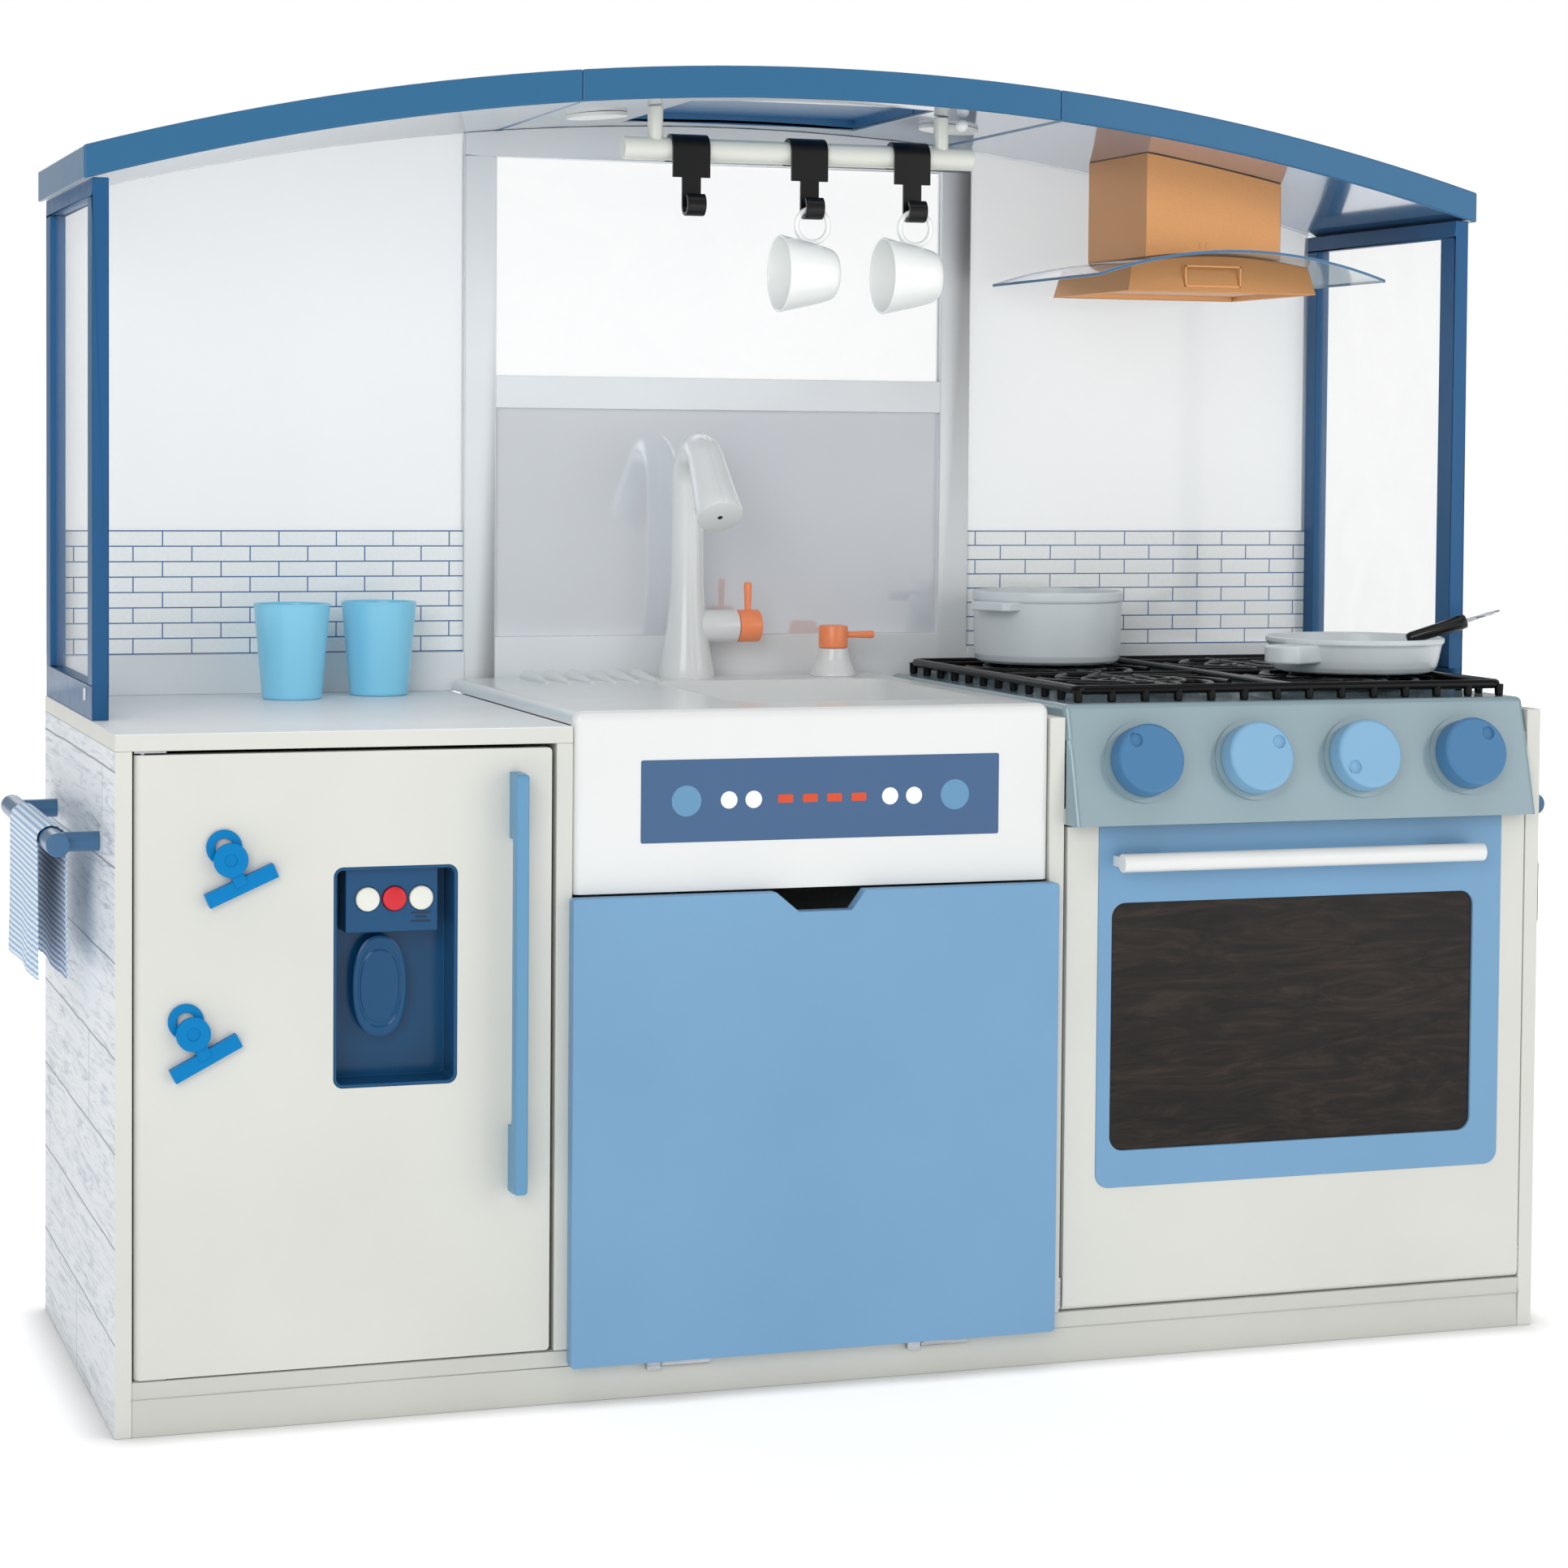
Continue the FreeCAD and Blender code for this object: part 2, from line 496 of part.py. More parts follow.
def make_pivot_plates(dishwasher_pins):
    """The fixed halves of all the door hinges, with the pins that the doors turn on."""
    slim = "0.8"
    thick = "1.5"
    plates = [
        join("fridge_pivot_low", [
            block("fridge_plate_low", ("fridge_left", "fridge_left + 22"), ("2", "10"),
                  ("floor_top", "floor_top + " + slim)),
            rod("fridge_pin_low", ("fridge_pivot_x", "pivot_y", "floor_top"), "z", "pivot_reach",
                "pivot_radius")]),
        join("fridge_pivot_high", [
            block("fridge_plate_high", ("fridge_left", "fridge_left + 22"), ("2", "10"),
                  ("low_top - " + thick, "low_top")),
            rod("fridge_pin_high", ("fridge_pivot_x", "pivot_y", "low_top - pivot_reach"), "z",
                "pivot_reach", "pivot_radius")]),
        join("oven_pivot_left", [
            block("oven_plate_left", ("stove_wall + board", "stove_wall + board + " + thick),
                  ("1", "11"), ("floor_top + 2", "floor_top + 26")),
            rod("oven_pin_left", ("stove_wall + board", "pivot_y", "oven_axis_z"), "x", "pivot_reach",
                "pivot_radius")]),
        join("oven_pivot_right", [
            block("oven_plate_right", ("half_width - board - 0.7", "half_width - board"), ("1", "11"),
                  ("floor_top + 2", "floor_top + 26")),
            rod("oven_pin_right", ("half_width - board - pivot_reach", "pivot_y", "oven_axis_z"), "x",
                "pivot_reach", "pivot_radius")]),
    ]
    publish("hinge_plates", plates + dishwasher_pins)


# ---- sink and taps ----

def make_sink():
    outer = block("sink_outer", ("sink_left", "sink_right"), ("0", "sink_back"),
                  ("apron_low", "rim"))
    outer = soften("sink_soft", outer, "sink_round",
                   lambda edge: edge.CenterOfMass.z > value("rim") - 1
                   or (straight(edge, "z") and edge.CenterOfMass.y < 1))
    under = block("sink_under", ("sink_left - 1", "sink_right + 1"),
                  ("apron_wall", "sink_back + 1"), ("apron_low - 1", "deck_under"))
    tub = block("bowl_outer", ("bowl_left - bowl_wall", "bowl_right + bowl_wall"),
                ("bowl_front - bowl_wall", "bowl_back + bowl_wall"),
                ("bowl_floor - bowl_wall", "deck_under + 2"))
    tub = soften("bowl_outer_soft", tub, "bowl_round", lambda edge: straight(edge, "z"))
    well = block("bowl_inner", ("bowl_left", "bowl_right"), ("bowl_front", "bowl_back"),
                 ("bowl_floor", "rim + 20"))
    well = soften("bowl_inner_soft", well, "bowl_round - bowl_wall",
                  lambda edge: straight(edge, "z") or edge.CenterOfMass.z < value("bowl_floor") + 1)
    ribs = [
        rod("drainer_rib_%d" % i, ("rib_first + %d * rib_pitch" % i, "rib_front",
                                   "rim"), "y", "rib_length", "rib_small", "rib_large")
        for i in range(int(value("rib_count")))
    ]
    skin = join("sink_skin", [cut("sink_top", outer, under), tub] + ribs)
    publish("sink_basin", cut("sink_whole", skin, well))


def make_faucet():
    foot = rod("faucet_base", ("faucet_x", "faucet_y", "rim"), "z", "waist_level - rim",
               "faucet_foot", "faucet_waist")
    neck = rod("faucet_riser", ("faucet_x", "faucet_y", "waist_level"), "z",
               "neck_level - waist_level", "faucet_waist", "faucet_neck")
    arch = doc.addObject("Part::Torus", "faucet_arch")
    bind(arch, "Radius1", "arch_radius")
    bind(arch, "Radius2", "faucet_neck")
    bind(arch, "Angle3", "arch_turn")
    # the torus starts above the riser and turns over it towards the front
    arch_turn = Rotation(Vector(0, 1, 0), Vector(0, 0, 1), Vector(1, 0, 0), "ZXY")
    place(arch, ("faucet_x", "faucet_y - arch_radius", "neck_level"), arch_turn)
    angle = math.radians(value("arch_turn"))
    spout = doc.addObject("Part::Cone", "faucet_spout")
    bind(spout, "Radius1", "faucet_neck")
    bind(spout, "Radius2", "spout_radius")
    bind(spout, "Height", "spout_length")
    downwards = Vector(0, -math.sin(angle), math.cos(angle))
    spout.Placement = Placement(Vector(0, 0, 0), Rotation(Vector(0, 0, 1), downwards))
    bind(spout, "Placement.Base.x", "faucet_x")
    bind(spout, "Placement.Base.y", "faucet_y - arch_radius + arch_radius * cos(arch_turn * 1deg)")
    bind(spout, "Placement.Base.z", "neck_level + arch_radius * sin(arch_turn * 1deg)")
    branch = rod("faucet_branch", ("faucet_x", "faucet_y", "branch_level"), "x",
                 "branch_face - faucet_x", "branch_radius")
    bore = rod("faucet_bore", ("branch_face - spindle_length - 1", "faucet_y", "branch_level"), "x",
               "spindle_length + 2", "spindle_bore")
    body = cut("faucet_casting", join("faucet_solid", [foot, neck, arch, spout, branch]), bore)
    halves = []
    for side, (low, high) in (("left", ("-200", "faucet_x")), ("right", ("faucet_x", "100"))):
        space = block("faucet_side_" + side, (low, high), ("100", "400"), ("450", "800"))
        halves.append(both("faucet_half_" + side, body, space))
    publish("faucet_body", halves)

    cap = rod("lever_cap", ("branch_face + play", "faucet_y", "branch_level"), "x", "cap_length",
              "branch_radius")
    spindle = rod("lever_spindle", ("branch_face - spindle_length", "faucet_y", "branch_level"), "x",
                  "spindle_length + 4", "spindle_radius")
    stick = rod("lever_stick", ("branch_face + play + cap_length / 2", "faucet_y", "branch_level"),
                "z", "lever_top - branch_level", "lever_small", "lever_large")
    publish("faucet_lever", join("lever_whole", [cap, spindle, stick]))


def make_tap():
    foot = rod("tap_cone", ("tap_x", "tap_y", "rim"), "z", "tap_level - rim", "tap_foot", "tap_neck")
    bore = rod("tap_bore", ("tap_x", "tap_y", "tap_level - spindle_length - 1"), "z",
               "spindle_length + 2", "spindle_bore")
    publish("tap_base", cut("tap_casting", foot, bore))
    cap = rod("tap_cap", ("tap_x", "tap_y", "tap_level + play"), "z", "tap_top - tap_level - play",
              "tap_cap_radius")
    spindle = rod("tap_spindle", ("tap_x", "tap_y", "tap_level - spindle_length"), "z",
                  "spindle_length + 4", "spindle_radius")
    stick = rod("tap_stick", ("tap_x", "tap_y", "tap_lever_level"), "x", "tap_lever_reach",
                "lever_small", "lever_large")
    publish("tap_lever", join("tap_whole", [cap, spindle, stick]))


# ---- stove ----

def stove_face_turn():
    """The turn that lays a piece's own +Z along the outward normal of the sloping stove face."""
    rise = value("stove_top - stove_low")
    back = value("stove_crest - stove_lip")
    outward = Vector(0, -rise, back)
    return Rotation(Vector(0, 0, 1), outward.normalize())


def on_stove_face(offset, proud):
    """The point on the sloping face at a knob's place, moved out along the normal."""
    slope = "(stove_crest - stove_lip) / (stove_top - stove_low)"
    lean = "cos(atan(%s))" % slope
    return ("knob_middle + (%s)" % offset,
            "stove_lip + (knob_level - stove_low) * %s - (%s) * %s" % (slope, proud, lean),
            "knob_level + (%s) * %s * %s" % (proud, slope, lean))


KNOBS = (("knob_1", "-knob_outer", 130), ("knob_2", "-knob_inner", 35),
         ("knob_3", "knob_inner", 215), ("knob_4", "knob_outer", 50))


def make_stove_top():
    body = doc.addObject("PartDesign::Body", "stove_moulding")
    corners = [("stove_lip", "stove_low"), ("stove_shoulder", "stove_low"),
               ("stove_shoulder", "stove_skirt"), ("stove_rear", "stove_skirt"),
               ("stove_rear", "stove_top"), ("stove_crest", "stove_top")]
    padded(body, "stove_pad", "YZ_Plane", corners, "stove_right - stove_left")
    place(body, ("stove_left", "0", "0"))
    edges_front = soften("stove_soft", body, "stove_round",
                         lambda edge: edge.CenterOfMass.z > value("stove_top") - 1
                         or (edge.CenterOfMass.y < value("stove_shoulder") - 2
                             and edge.CenterOfMass.z > value("stove_low") + 1))
    inside = doc.addObject("PartDesign::Body", "stove_inside")
    skin = "stove_skin"
    hollow = [("stove_lip + " + skin, "stove_low - 1"), ("stove_shoulder + 1", "stove_low - 1"),
              ("stove_shoulder + 1", "stove_skirt - 1"), ("stove_rear - " + skin, "stove_skirt - 1"),
              ("stove_rear - " + skin, "stove_top - " + skin),
              ("stove_crest + " + skin, "stove_top - " + skin)]
    padded(inside, "stove_void", "YZ_Plane", hollow, "stove_right - stove_left - 2 * stove_skin")
    place(inside, ("stove_left + " + skin, "0", "0"))
    shell = cut("stove_shell", edges_front, inside)
    collars = []
    bores = []
    for name, offset, _ in KNOBS:
        collar = doc.addObject("Part::Cylinder", name + "_collar")
        bind(collar, "Radius", "collar_radius")
        bind(collar, "Height", "collar_thick + 1")
        collars.append(place(collar, on_stove_face(offset, "-1"), stove_face_turn()))
        bore = doc.addObject("Part::Cylinder", name + "_bore")
        bind(bore, "Radius", "knob_bore")
        bind(bore, "Height", "30")
        bores.append(place(bore, on_stove_face(offset, "-15"), stove_face_turn()))
    publish("stove_top", cut("stove_drilled", join("stove_collared", [shell] + collars), *bores))


def make_knobs():
    for name, offset, dimple_angle in KNOBS:
        body = turned(name + "_turned", [
            ("0", "-knob_stem_length"), ("knob_stem", "-knob_stem_length"), ("knob_stem", "0"),
            ("knob_radius + 0.5", "0"), ("knob_radius", "knob_thick - knob_edge"),
            ("knob_radius - knob_edge", "knob_thick"), ("0", "knob_thick")])
        dimple = doc.addObject("Part::Cylinder", name + "_dimple")
        bind(dimple, "Radius", "dimple_radius")
        bind(dimple, "Height", "dimple_depth + 1")
        place(dimple, ("dimple_offset * cos(%d * 1deg)" % dimple_angle,
                       "dimple_offset * sin(%d * 1deg)" % dimple_angle, "knob_thick - dimple_depth"))
        knob = cut(name + "_whole", body, dimple)
        place(knob, on_stove_face(offset, "collar_thick + knob_gap"), stove_face_turn())
        publish(name, knob)


def make_grate():
    half = "grate_bar / 2"
    axis = "grate_top - " + half
    under = "grate_top - grate_bar"
    bars = [
        block("grate_front_bar", ("grate_left", "grate_right"), ("grate_front", "grate_front + grate_bar"),
              (under, "grate_top")),
        block("grate_back_bar", ("grate_left", "grate_right"), ("grate_back - grate_bar", "grate_back"),
              (under, "grate_top")),
        block("grate_left_bar", ("grate_left", "grate_left + grate_bar"), ("grate_front", "grate_back"),
              (under, "grate_top")),
        block("grate_right_bar", ("grate_right - grate_bar", "grate_right"), ("grate_front", "grate_back"),
              (under, "grate_top")),
    ]
    middle_x = "(grate_left + grate_right) / 2"
    middle_y = "(grate_front + grate_back) / 2"
    bars.append(block("grate_middle_bar", (middle_x + " - " + half, middle_x + " + " + half),
                      ("grate_front", "grate_back"), (under, "grate_top")))
    bars.append(block("grate_cross_bar", ("grate_left", "grate_right"),
                      (middle_y + " - " + half, middle_y + " + " + half), (under, "grate_top")))
    quarter_x = "(grate_right - grate_left) / 4"
    quarter_y = "(grate_back - grate_front) / 4"
    for i, (sx, sy) in enumerate(((-1, -1), (1, -1), (-1, 1), (1, 1))):
        centre = ("%s + (%d) * %s" % (middle_x, sx, quarter_x), "%s + (%d) * %s" % (middle_y, sy, quarter_y))
        bars.append(block("burner_bar_x_%d" % i, (centre[0] + " - " + quarter_x, centre[0] + " + " + quarter_x),
                          (centre[1] + " - 3", centre[1] + " + 3"), (under, "grate_top")))
        bars.append(block("burner_bar_y_%d" % i, (centre[0] + " - 3", centre[0] + " + 3"),
                          (centre[1] + " - " + quarter_y, centre[1] + " + " + quarter_y),
                          (under, "grate_top")))
        outer = rod("burner_disc_%d" % i, (centre[0], centre[1], under), "z", "grate_bar",
                    "burner_radius + 3")
        inner = rod("burner_hole_%d" % i, (centre[0], centre[1], under + " - 1"), "z",
                    "grate_bar + 2", "burner_radius - 3")
        bars.append(cut("burner_ring_%d" % i, outer, inner))
    for i in range(int(value("grate_legs"))):
        x = "grate_left + 4 + %d * (grate_right - grate_left - 8) / (grate_legs - 1)" % i
        for side, y in (("front", "grate_front + 4"), ("back", "grate_back - 4")):
            bars.append(rod("grate_leg_%s_%d" % (side, i), (x, y, "stove_top"), "z",
                            "%s - stove_top" % axis, "2.6"))
    for i in range(1, int(value("grate_side_legs")) - 1):
        y = "grate_front + 4 + %d * (grate_back - grate_front - 8) / (grate_side_legs - 1)" % i
        for side, x in (("left", "grate_left + 4"), ("right", "grate_right - 4")):
            bars.append(rod("grate_leg_%s_%d" % (side, i), (x, y, "stove_top"), "z",
                            "%s - stove_top" % axis, "2.6"))
    publish("cooktop_grate", join("grate_whole", bars))


# ---- windows and frames ----

def make_side_windows():
    bars = []
    panes = []
    for side, (low, high) in (("left", ("-window_outer", "-window_inner")),
                              ("right", ("window_inner", "window_outer"))):
        spans = (("sill", ("window_front", "depth"), ("high_top", "sill_top")),
                 ("front_post", ("window_front", "window_front + post_depth"), ("sill_top", "post_top")),
                 ("back_post", ("depth - post_depth", "depth"), ("sill_top", "post_top")),
                 ("head", ("window_front", "depth"), ("post_top", "rail_top")))
        for name, ys, zs in spans:
            bars.append(block("%s_%s" % (side, name), (low, high), ys, zs))
        panes.append(block(side + "_pane", ("(%s + %s) / 2 - clear_thick / 2" % (low, high),
                                            "(%s + %s) / 2 + clear_thick / 2" % (low, high)),
                           ("window_front + post_depth", "depth - post_depth"),
                           ("sill_top", "post_top")))
    publish("side_window_frames", bars)
    return panes


def roof_cylinder(name, apex, radius="roof_radius"):
    """A long round bar along Y whose top line is the arch of the roof."""
    return rod(name, ("0", "roof_front - 20", "%s - %s" % (apex, radius)), "y",
               "roof_rear - roof_front + 40", radius)


def make_back_frame(side_panes):
    inner = "frame_half - frame_post"
    post_foot = "low_top"
    head_blank = block("head_blank", ("-frame_half", "frame_half"), ("frame_front", "depth"),
                       ("frame_head", "roof_under + 5"))
    head = both("frame_head_board", head_blank, roof_cylinder("head_arch", "roof_under - 0.2"))
    publish("centre_frame", [
        block("frame_foot_rail", ("-(%s)" % inner, inner), ("frame_front", "depth"),
              (post_foot, "frame_sill")),
        block("frame_left_post", ("-frame_half", "-(%s)" % inner), ("frame_front", "depth"),
              (post_foot, "frame_head")),
        block("frame_right_post", (inner, "frame_half"), ("frame_front", "depth"),
              (post_foot, "frame_head")),
        block("frame_crossbar", ("-(%s)" % inner, inner), ("frame_front", "depth"),
              ("crossbar_low", "crossbar_high")),
        head,
    ])
    depth_span = ("pane_y", "pane_y + pane_thick")
    publish("mirror_pane", block("mirror_sheet", ("-(%s)" % inner, inner), depth_span,
                                 ("frame_sill", "crossbar_low")))
    upper = block("upper_sheet", ("-(%s)" % inner, inner), depth_span, ("crossbar_high", "frame_head"))
    publish("clear_panes", side_panes + [upper])
    sheets = []
    for name, xs in (("left", ("-window_inner", "-frame_half")), ("right", ("frame_half", "window_inner"))):
        blank = block("back_sheet_blank_" + name, xs, depth_span, ("upstand_top", "roof_under + 5"))
        sheets.append(both("back_sheet_" + name, blank,
                           roof_cylinder("back_sheet_arch_" + name, "roof_under - 0.3")))
    publish("back_panes", sheets)


# ---- roof ----

def roof_tray(name, left, right):
    """A curved cover with a top skin and a skirt on all four sides, open below."""
    blank = block(name + "_blank", (left, right), ("roof_front", "roof_rear"), ("860", "roof_apex + 5"))
    slab = cut(name + "_slab", both(name + "_arched", blank, roof_cylinder(name + "_top", "roof_apex")),
               roof_cylinder(name + "_under", "roof_under"))
    skin = "roof_skin"
    space = block(name + "_space", (left + " + " + skin, right + " - " + skin),
                  ("roof_front + " + skin, "roof_rear - " + skin), ("860", "roof_apex + 5"))
    space = both(name + "_hollow", space, roof_cylinder(name + "_skin", "roof_apex - roof_skin"))
    return cut(name + "_tray", slab, space)


def soffit(name, left, right):
    """The thin curved board that closes a roof cover from below."""
    skin = "roof_skin"
    blank = block(name + "_blank", (left + " + " + skin, right + " - " + skin),
                  ("roof_front + " + skin, "roof_rear - " + skin), ("860", "roof_apex"))
    upper = both(name + "_upper", blank, roof_cylinder(name + "_top", "roof_under + roof_skin"))
    return cut(name + "_board", upper, roof_cylinder(name + "_low", "roof_under"))


def make_roof():
    spans = (("roof_left", "-roof_half", "-roof_seam"), ("roof_centre", "-roof_seam", "roof_seam"),
             ("roof_right", "roof_seam", "roof_half"))
    boards = []
    for name, left, right in spans:
        publish(name, roof_tray(name, left, right))
        board = soffit(name + "_soffit", left, right)
        if name == "roof_centre":
            well = block("light_well", ("-well_half", "well_half"), ("well_front", "well_back"),
                         ("roof_under - 30", "roof_apex"))
            board = cut("centre_soffit", board, well)
        boards.append(board)
    publish("roof_soffits", boards)

    lamps = []
    for side in (-1, 1):
        lamp = doc.addObject("Part::Cylinder", "lamp_%s" % ("left" if side < 0 else "right"))
        bind(lamp, "Radius", "lamp_radius")
        bind(lamp, "Height", "lamp_thick")
        tilt = Rotation(Vector(0, 1, 0), side * math.degrees(value("lamp_x / roof_radius")))
        place(lamp, ("(%d) * lamp_x" % side, "lamp_y",
                     "roof_under - lamp_x * lamp_x / (2 * roof_radius) - lamp_thick - 0.35"), tilt)
        lamps.append(lamp)
    knob = doc.addObject("Part::Sphere", "lamp_knob")
    bind(knob, "Radius", "lamp_knob_radius")
    knob_level = "roof_under - lamp_knob_x * lamp_knob_x / (2 * roof_radius) - lamp_knob_radius - 0.4"
    lamps.append(place(knob, ("lamp_knob_x", "lamp_knob_y", knob_level)))
    publish("roof_lamps", lamps)


# ---- range hood ----

def visor_cylinder(name, drop):
    middle = "(visor_left + visor_right) / 2"
    radius = "visor_radius - (%s)" % drop
    return rod(name, (middle, "visor_front - 10", "visor_peak - visor_radius"), "y",
               "visor_back - visor_front + 20", radius)


def make_hood():
    top = "visor_peak + 1"
    flue = block("flue_outer", ("flue_left", "flue_right"), ("flue_front", "flue_back"),
                 ("visor_peak - 15", "roof_under"))
    flue = both("flue_arched", flue, roof_cylinder("flue_roof", "roof_under - 0.2"))
    bore = block("flue_bore", ("flue_left + hood_skin", "flue_right - hood_skin"),
                 ("flue_front + hood_skin", "flue_back - hood_skin"), ("visor_peak - 30", "roof_under + 5"))
    flue = cut("flue_whole", flue, bore, visor_cylinder("flue_foot", "-0.1"))

    def canopy(name, inset, low):
        shape = doc.addObject("Part::Wedge", name)
        # the wedge grows along its own Y, which the turn stands up along +Z
        cells = {
            "Xmin": "hood_left + " + inset, "Xmax": "hood_right - " + inset,
            "X2min": "hood_left + hood_taper + " + inset, "X2max": "hood_right - hood_taper - " + inset,
            "Zmin": "-hood_back + " + inset, "Zmax": "-hood_front - " + inset,
            "Z2min": "-hood_back + hood_taper + " + inset, "Z2max": "-hood_front - hood_taper - " + inset,
            "Ymin": low, "Ymax": top,
        }
        for prop, text in cells.items():
            bind(shape, prop, text)
        shape.Placement = Placement(Vector(0, 0, 0), Rotation(Vector(1, 0, 0), 90))
        return shape
    body = cut("canopy_shell", canopy("canopy_outer", "0", "hood_low"),
               canopy("canopy_inner", "hood_skin", "hood_low - 1"))
    body = both("canopy_whole", body, visor_cylinder("canopy_crown", "visor_thick + 0.1"))
    mesh = block("filter_plate", ("hood_left + 5", "hood_right - 5"), ("hood_front + 5", "hood_back - 5"),
                 ("hood_low + filter_lift", "hood_low + filter_lift + filter_thick"))
    mesh = both("filter_fitted", mesh, canopy("filter_fit", "hood_skin", "hood_low - 1"))
    publish("range_hood", [flue, body, mesh])

    sheet_blank = block("visor_blank", ("visor_left", "visor_right"), ("visor_front", "visor_back"),
                        ("visor_peak - 40", "visor_peak + 5"))
    sheet_top = both("visor_upper", sheet_blank, visor_cylinder("visor_over", "0"))
    publish("hood_visor", cut("visor_sheet", sheet_top, visor_cylinder("visor_below", "visor_thick")))


# ---- utensil rail, hooks and mugs ----

def make_rail():
    bar = rod("rail_bar", ("-rail_half", "rail_y", "rail_z"), "x", "2 * rail_half", "rail_radius")
    drops = [
        rod("rail_drop_%d" % i, ("(%d) * drop_x" % sign, "rail_y", "rail_z"), "z",
            "roof_under - drop_x * drop_x / (2 * roof_radius) - rail_z - 0.6", "drop_radius")
        for i, sign in ((1, -1), (2, 1))
    ]
    publish("utensil_rail", join("rail_whole", [bar] + drops))


HOOKS = (("hook_1", "hook_one"), ("hook_2", "hook_two"), ("hook_3", "hook_three"))


def make_hooks():
    grip = "rail_radius + hook_gap"
    outer = grip + " + hook_thick"
    for name, spot in HOOKS:
        wide = (spot + " - hook_wide / 2", spot + " + hook_wide / 2")
        slim = (spot + " - hook_neck / 2", spot + " + hook_neck / 2")
        saddle = rod(name + "_saddle", (wide[0], "rail_y", "rail_z"), "x", "hook_wide", outer)
        upper = block(name + "_upper", wide, ("rail_y - 20", "rail_y + 20"), ("rail_z", "rail_z + 20"))
        front = block(name + "_front", wide, ("rail_y - (%s)" % outer, "rail_y - (%s)" % grip),
                      ("hook_plate_low", "rail_z"))
        back = block(name + "_back", wide, ("rail_y + " + grip, "rail_y + " + outer),
                     ("rail_z - 9", "rail_z"))
        neck = block(name + "_neck", slim, ("rail_y - (%s)" % outer, "rail_y - (%s)" % grip),
                     ("curl_z", "hook_plate_low + 1"))
        curl_y = "rail_y - (%s) - curl_radius" % grip
        disc = rod(name + "_curl_disc", (slim[0], curl_y, "curl_z"), "x", "hook_neck", "curl_radius")
        mouth = block(name + "_curl_mouth", (slim[0] + " - 1", slim[1] + " + 1"),
                      (curl_y + " - 4", curl_y + " + curl_radius - hook_thick"), ("curl_z", "curl_z + 20"))
        eye = rod(name + "_curl_eye", (slim[0] + " - 1", curl_y, "curl_z"), "x", "hook_neck + 2",
                  "curl_radius - hook_thick")
        curl = cut(name + "_curl", disc, mouth, eye)
        clip = join(name + "_solid", [both(name + "_cap", saddle, upper), front, back, neck, curl])
        bore = rod(name + "_bore", (wide[0] + " - 1", "rail_y", "rail_z"), "x", "hook_wide + 2", grip)
        publish(name, cut(name + "_whole", clip, bore))


def make_mugs():
    """Each mug hangs on its side from its ring handle, mouth towards -X."""
    curl_y = "rail_y - rail_radius - hook_gap - curl_radius"
    for name, spot in (("mug_1", "hook_two"), ("mug_2", "hook_three")):
        body = turned(name + "_turned", [
            ("0", "0"), ("mug_base", "0"), ("mug_mouth", "mug_length"),
            ("mug_mouth - mug_wall", "mug_length"), ("mug_base - mug_wall", "2 * mug_wall"),
            ("0", "2 * mug_wall")])
        place(body, (spot + " - mug_lead + mug_length", curl_y, "mug_axis"),
              Rotation(Vector(0, 1, 0), -90))
        loop = ring(name + "_loop", (spot, curl_y, "mug_ring_z"), "y", "mug_ring", "mug_tube")
        core = rod(name + "_core", (spot + " - mug_lead + mug_wall", curl_y, "mug_axis"), "x",
                   "mug_length - 3 * mug_wall", "mug_mouth - mug_wall", "mug_base - mug_wall / 2")
        handle = cut(name + "_handle", loop, core)
        publish(name, join(name + "_whole", [body, handle]))


# ---- things on the sides ----

def make_side_rails():
    rails = []
    for name, sign in (("left", -1), ("right", 1)):
        x = "(%d) * towel_rail_x" % sign
        bar = rod("towel_bar_" + name, (x, "towel_rail_front", "towel_rail_z"), "y",
                  "towel_rail_back - towel_rail_front", "towel_rail_radius")
        bar = soften("towel_bar_soft_" + name, bar, "1.5", lambda edge: edge.isClosed())
        start = x if sign < 0 else "half_width"
        posts = [
            rod("towel_post_%s_%d" % (name, i), (start, y, "towel_rail_z"), "x",
                "towel_rail_x - half_width", "towel_post_radius")
            for i, y in enumerate(("towel_post_front", "towel_post_back"))
        ]
        rails.append(join("towel_rail_" + name, [bar] + posts))
    publish("side_rails", rails)


def make_towel():
    """A small cloth folded over the left rail, as a bent strip with both ends hanging."""
    gap = "towel_rail_radius + towel_gap"
    outer = gap + " + towel_thick"
    ys = ("towel_front", "towel_back")
    x = "-towel_rail_x"
    falls = ("towel_rail_z - towel_drop", "towel_rail_z")
    arch = rod("towel_arch", (x, ys[0], "towel_rail_z"), "y", "towel_back - towel_front", outer)
    upper = block("towel_upper", (x + " - 20", x + " + 20"), ys, ("towel_rail_z", "towel_rail_z + 20"))
    near = block("towel_inner_fall", (x + " + " + gap, x + " + " + outer), ys, falls)
    far = block("towel_outer_fall", (x + " - (%s)" % outer, x + " - (%s)" % gap), ys, falls)
    bore = rod("towel_bore", (x, "towel_front - 1", "towel_rail_z"), "y",
               "towel_back - towel_front + 2", gap)
    solid = join("towel_solid", [both("towel_cap", arch, upper), near, far])
    publish("towel", cut("towel_whole", solid, bore))


def make_side_plate():
    blank = block("side_plate_blank", ("half_width", "half_width + plate_thick"),
                  ("plate_front", "plate_back"), ("plate_low", "plate_high"))
    publish("side_plate", soften("side_plate_soft", blank, "6", lambda edge: straight(edge, "x")))


# ---- loose kitchen ware ----

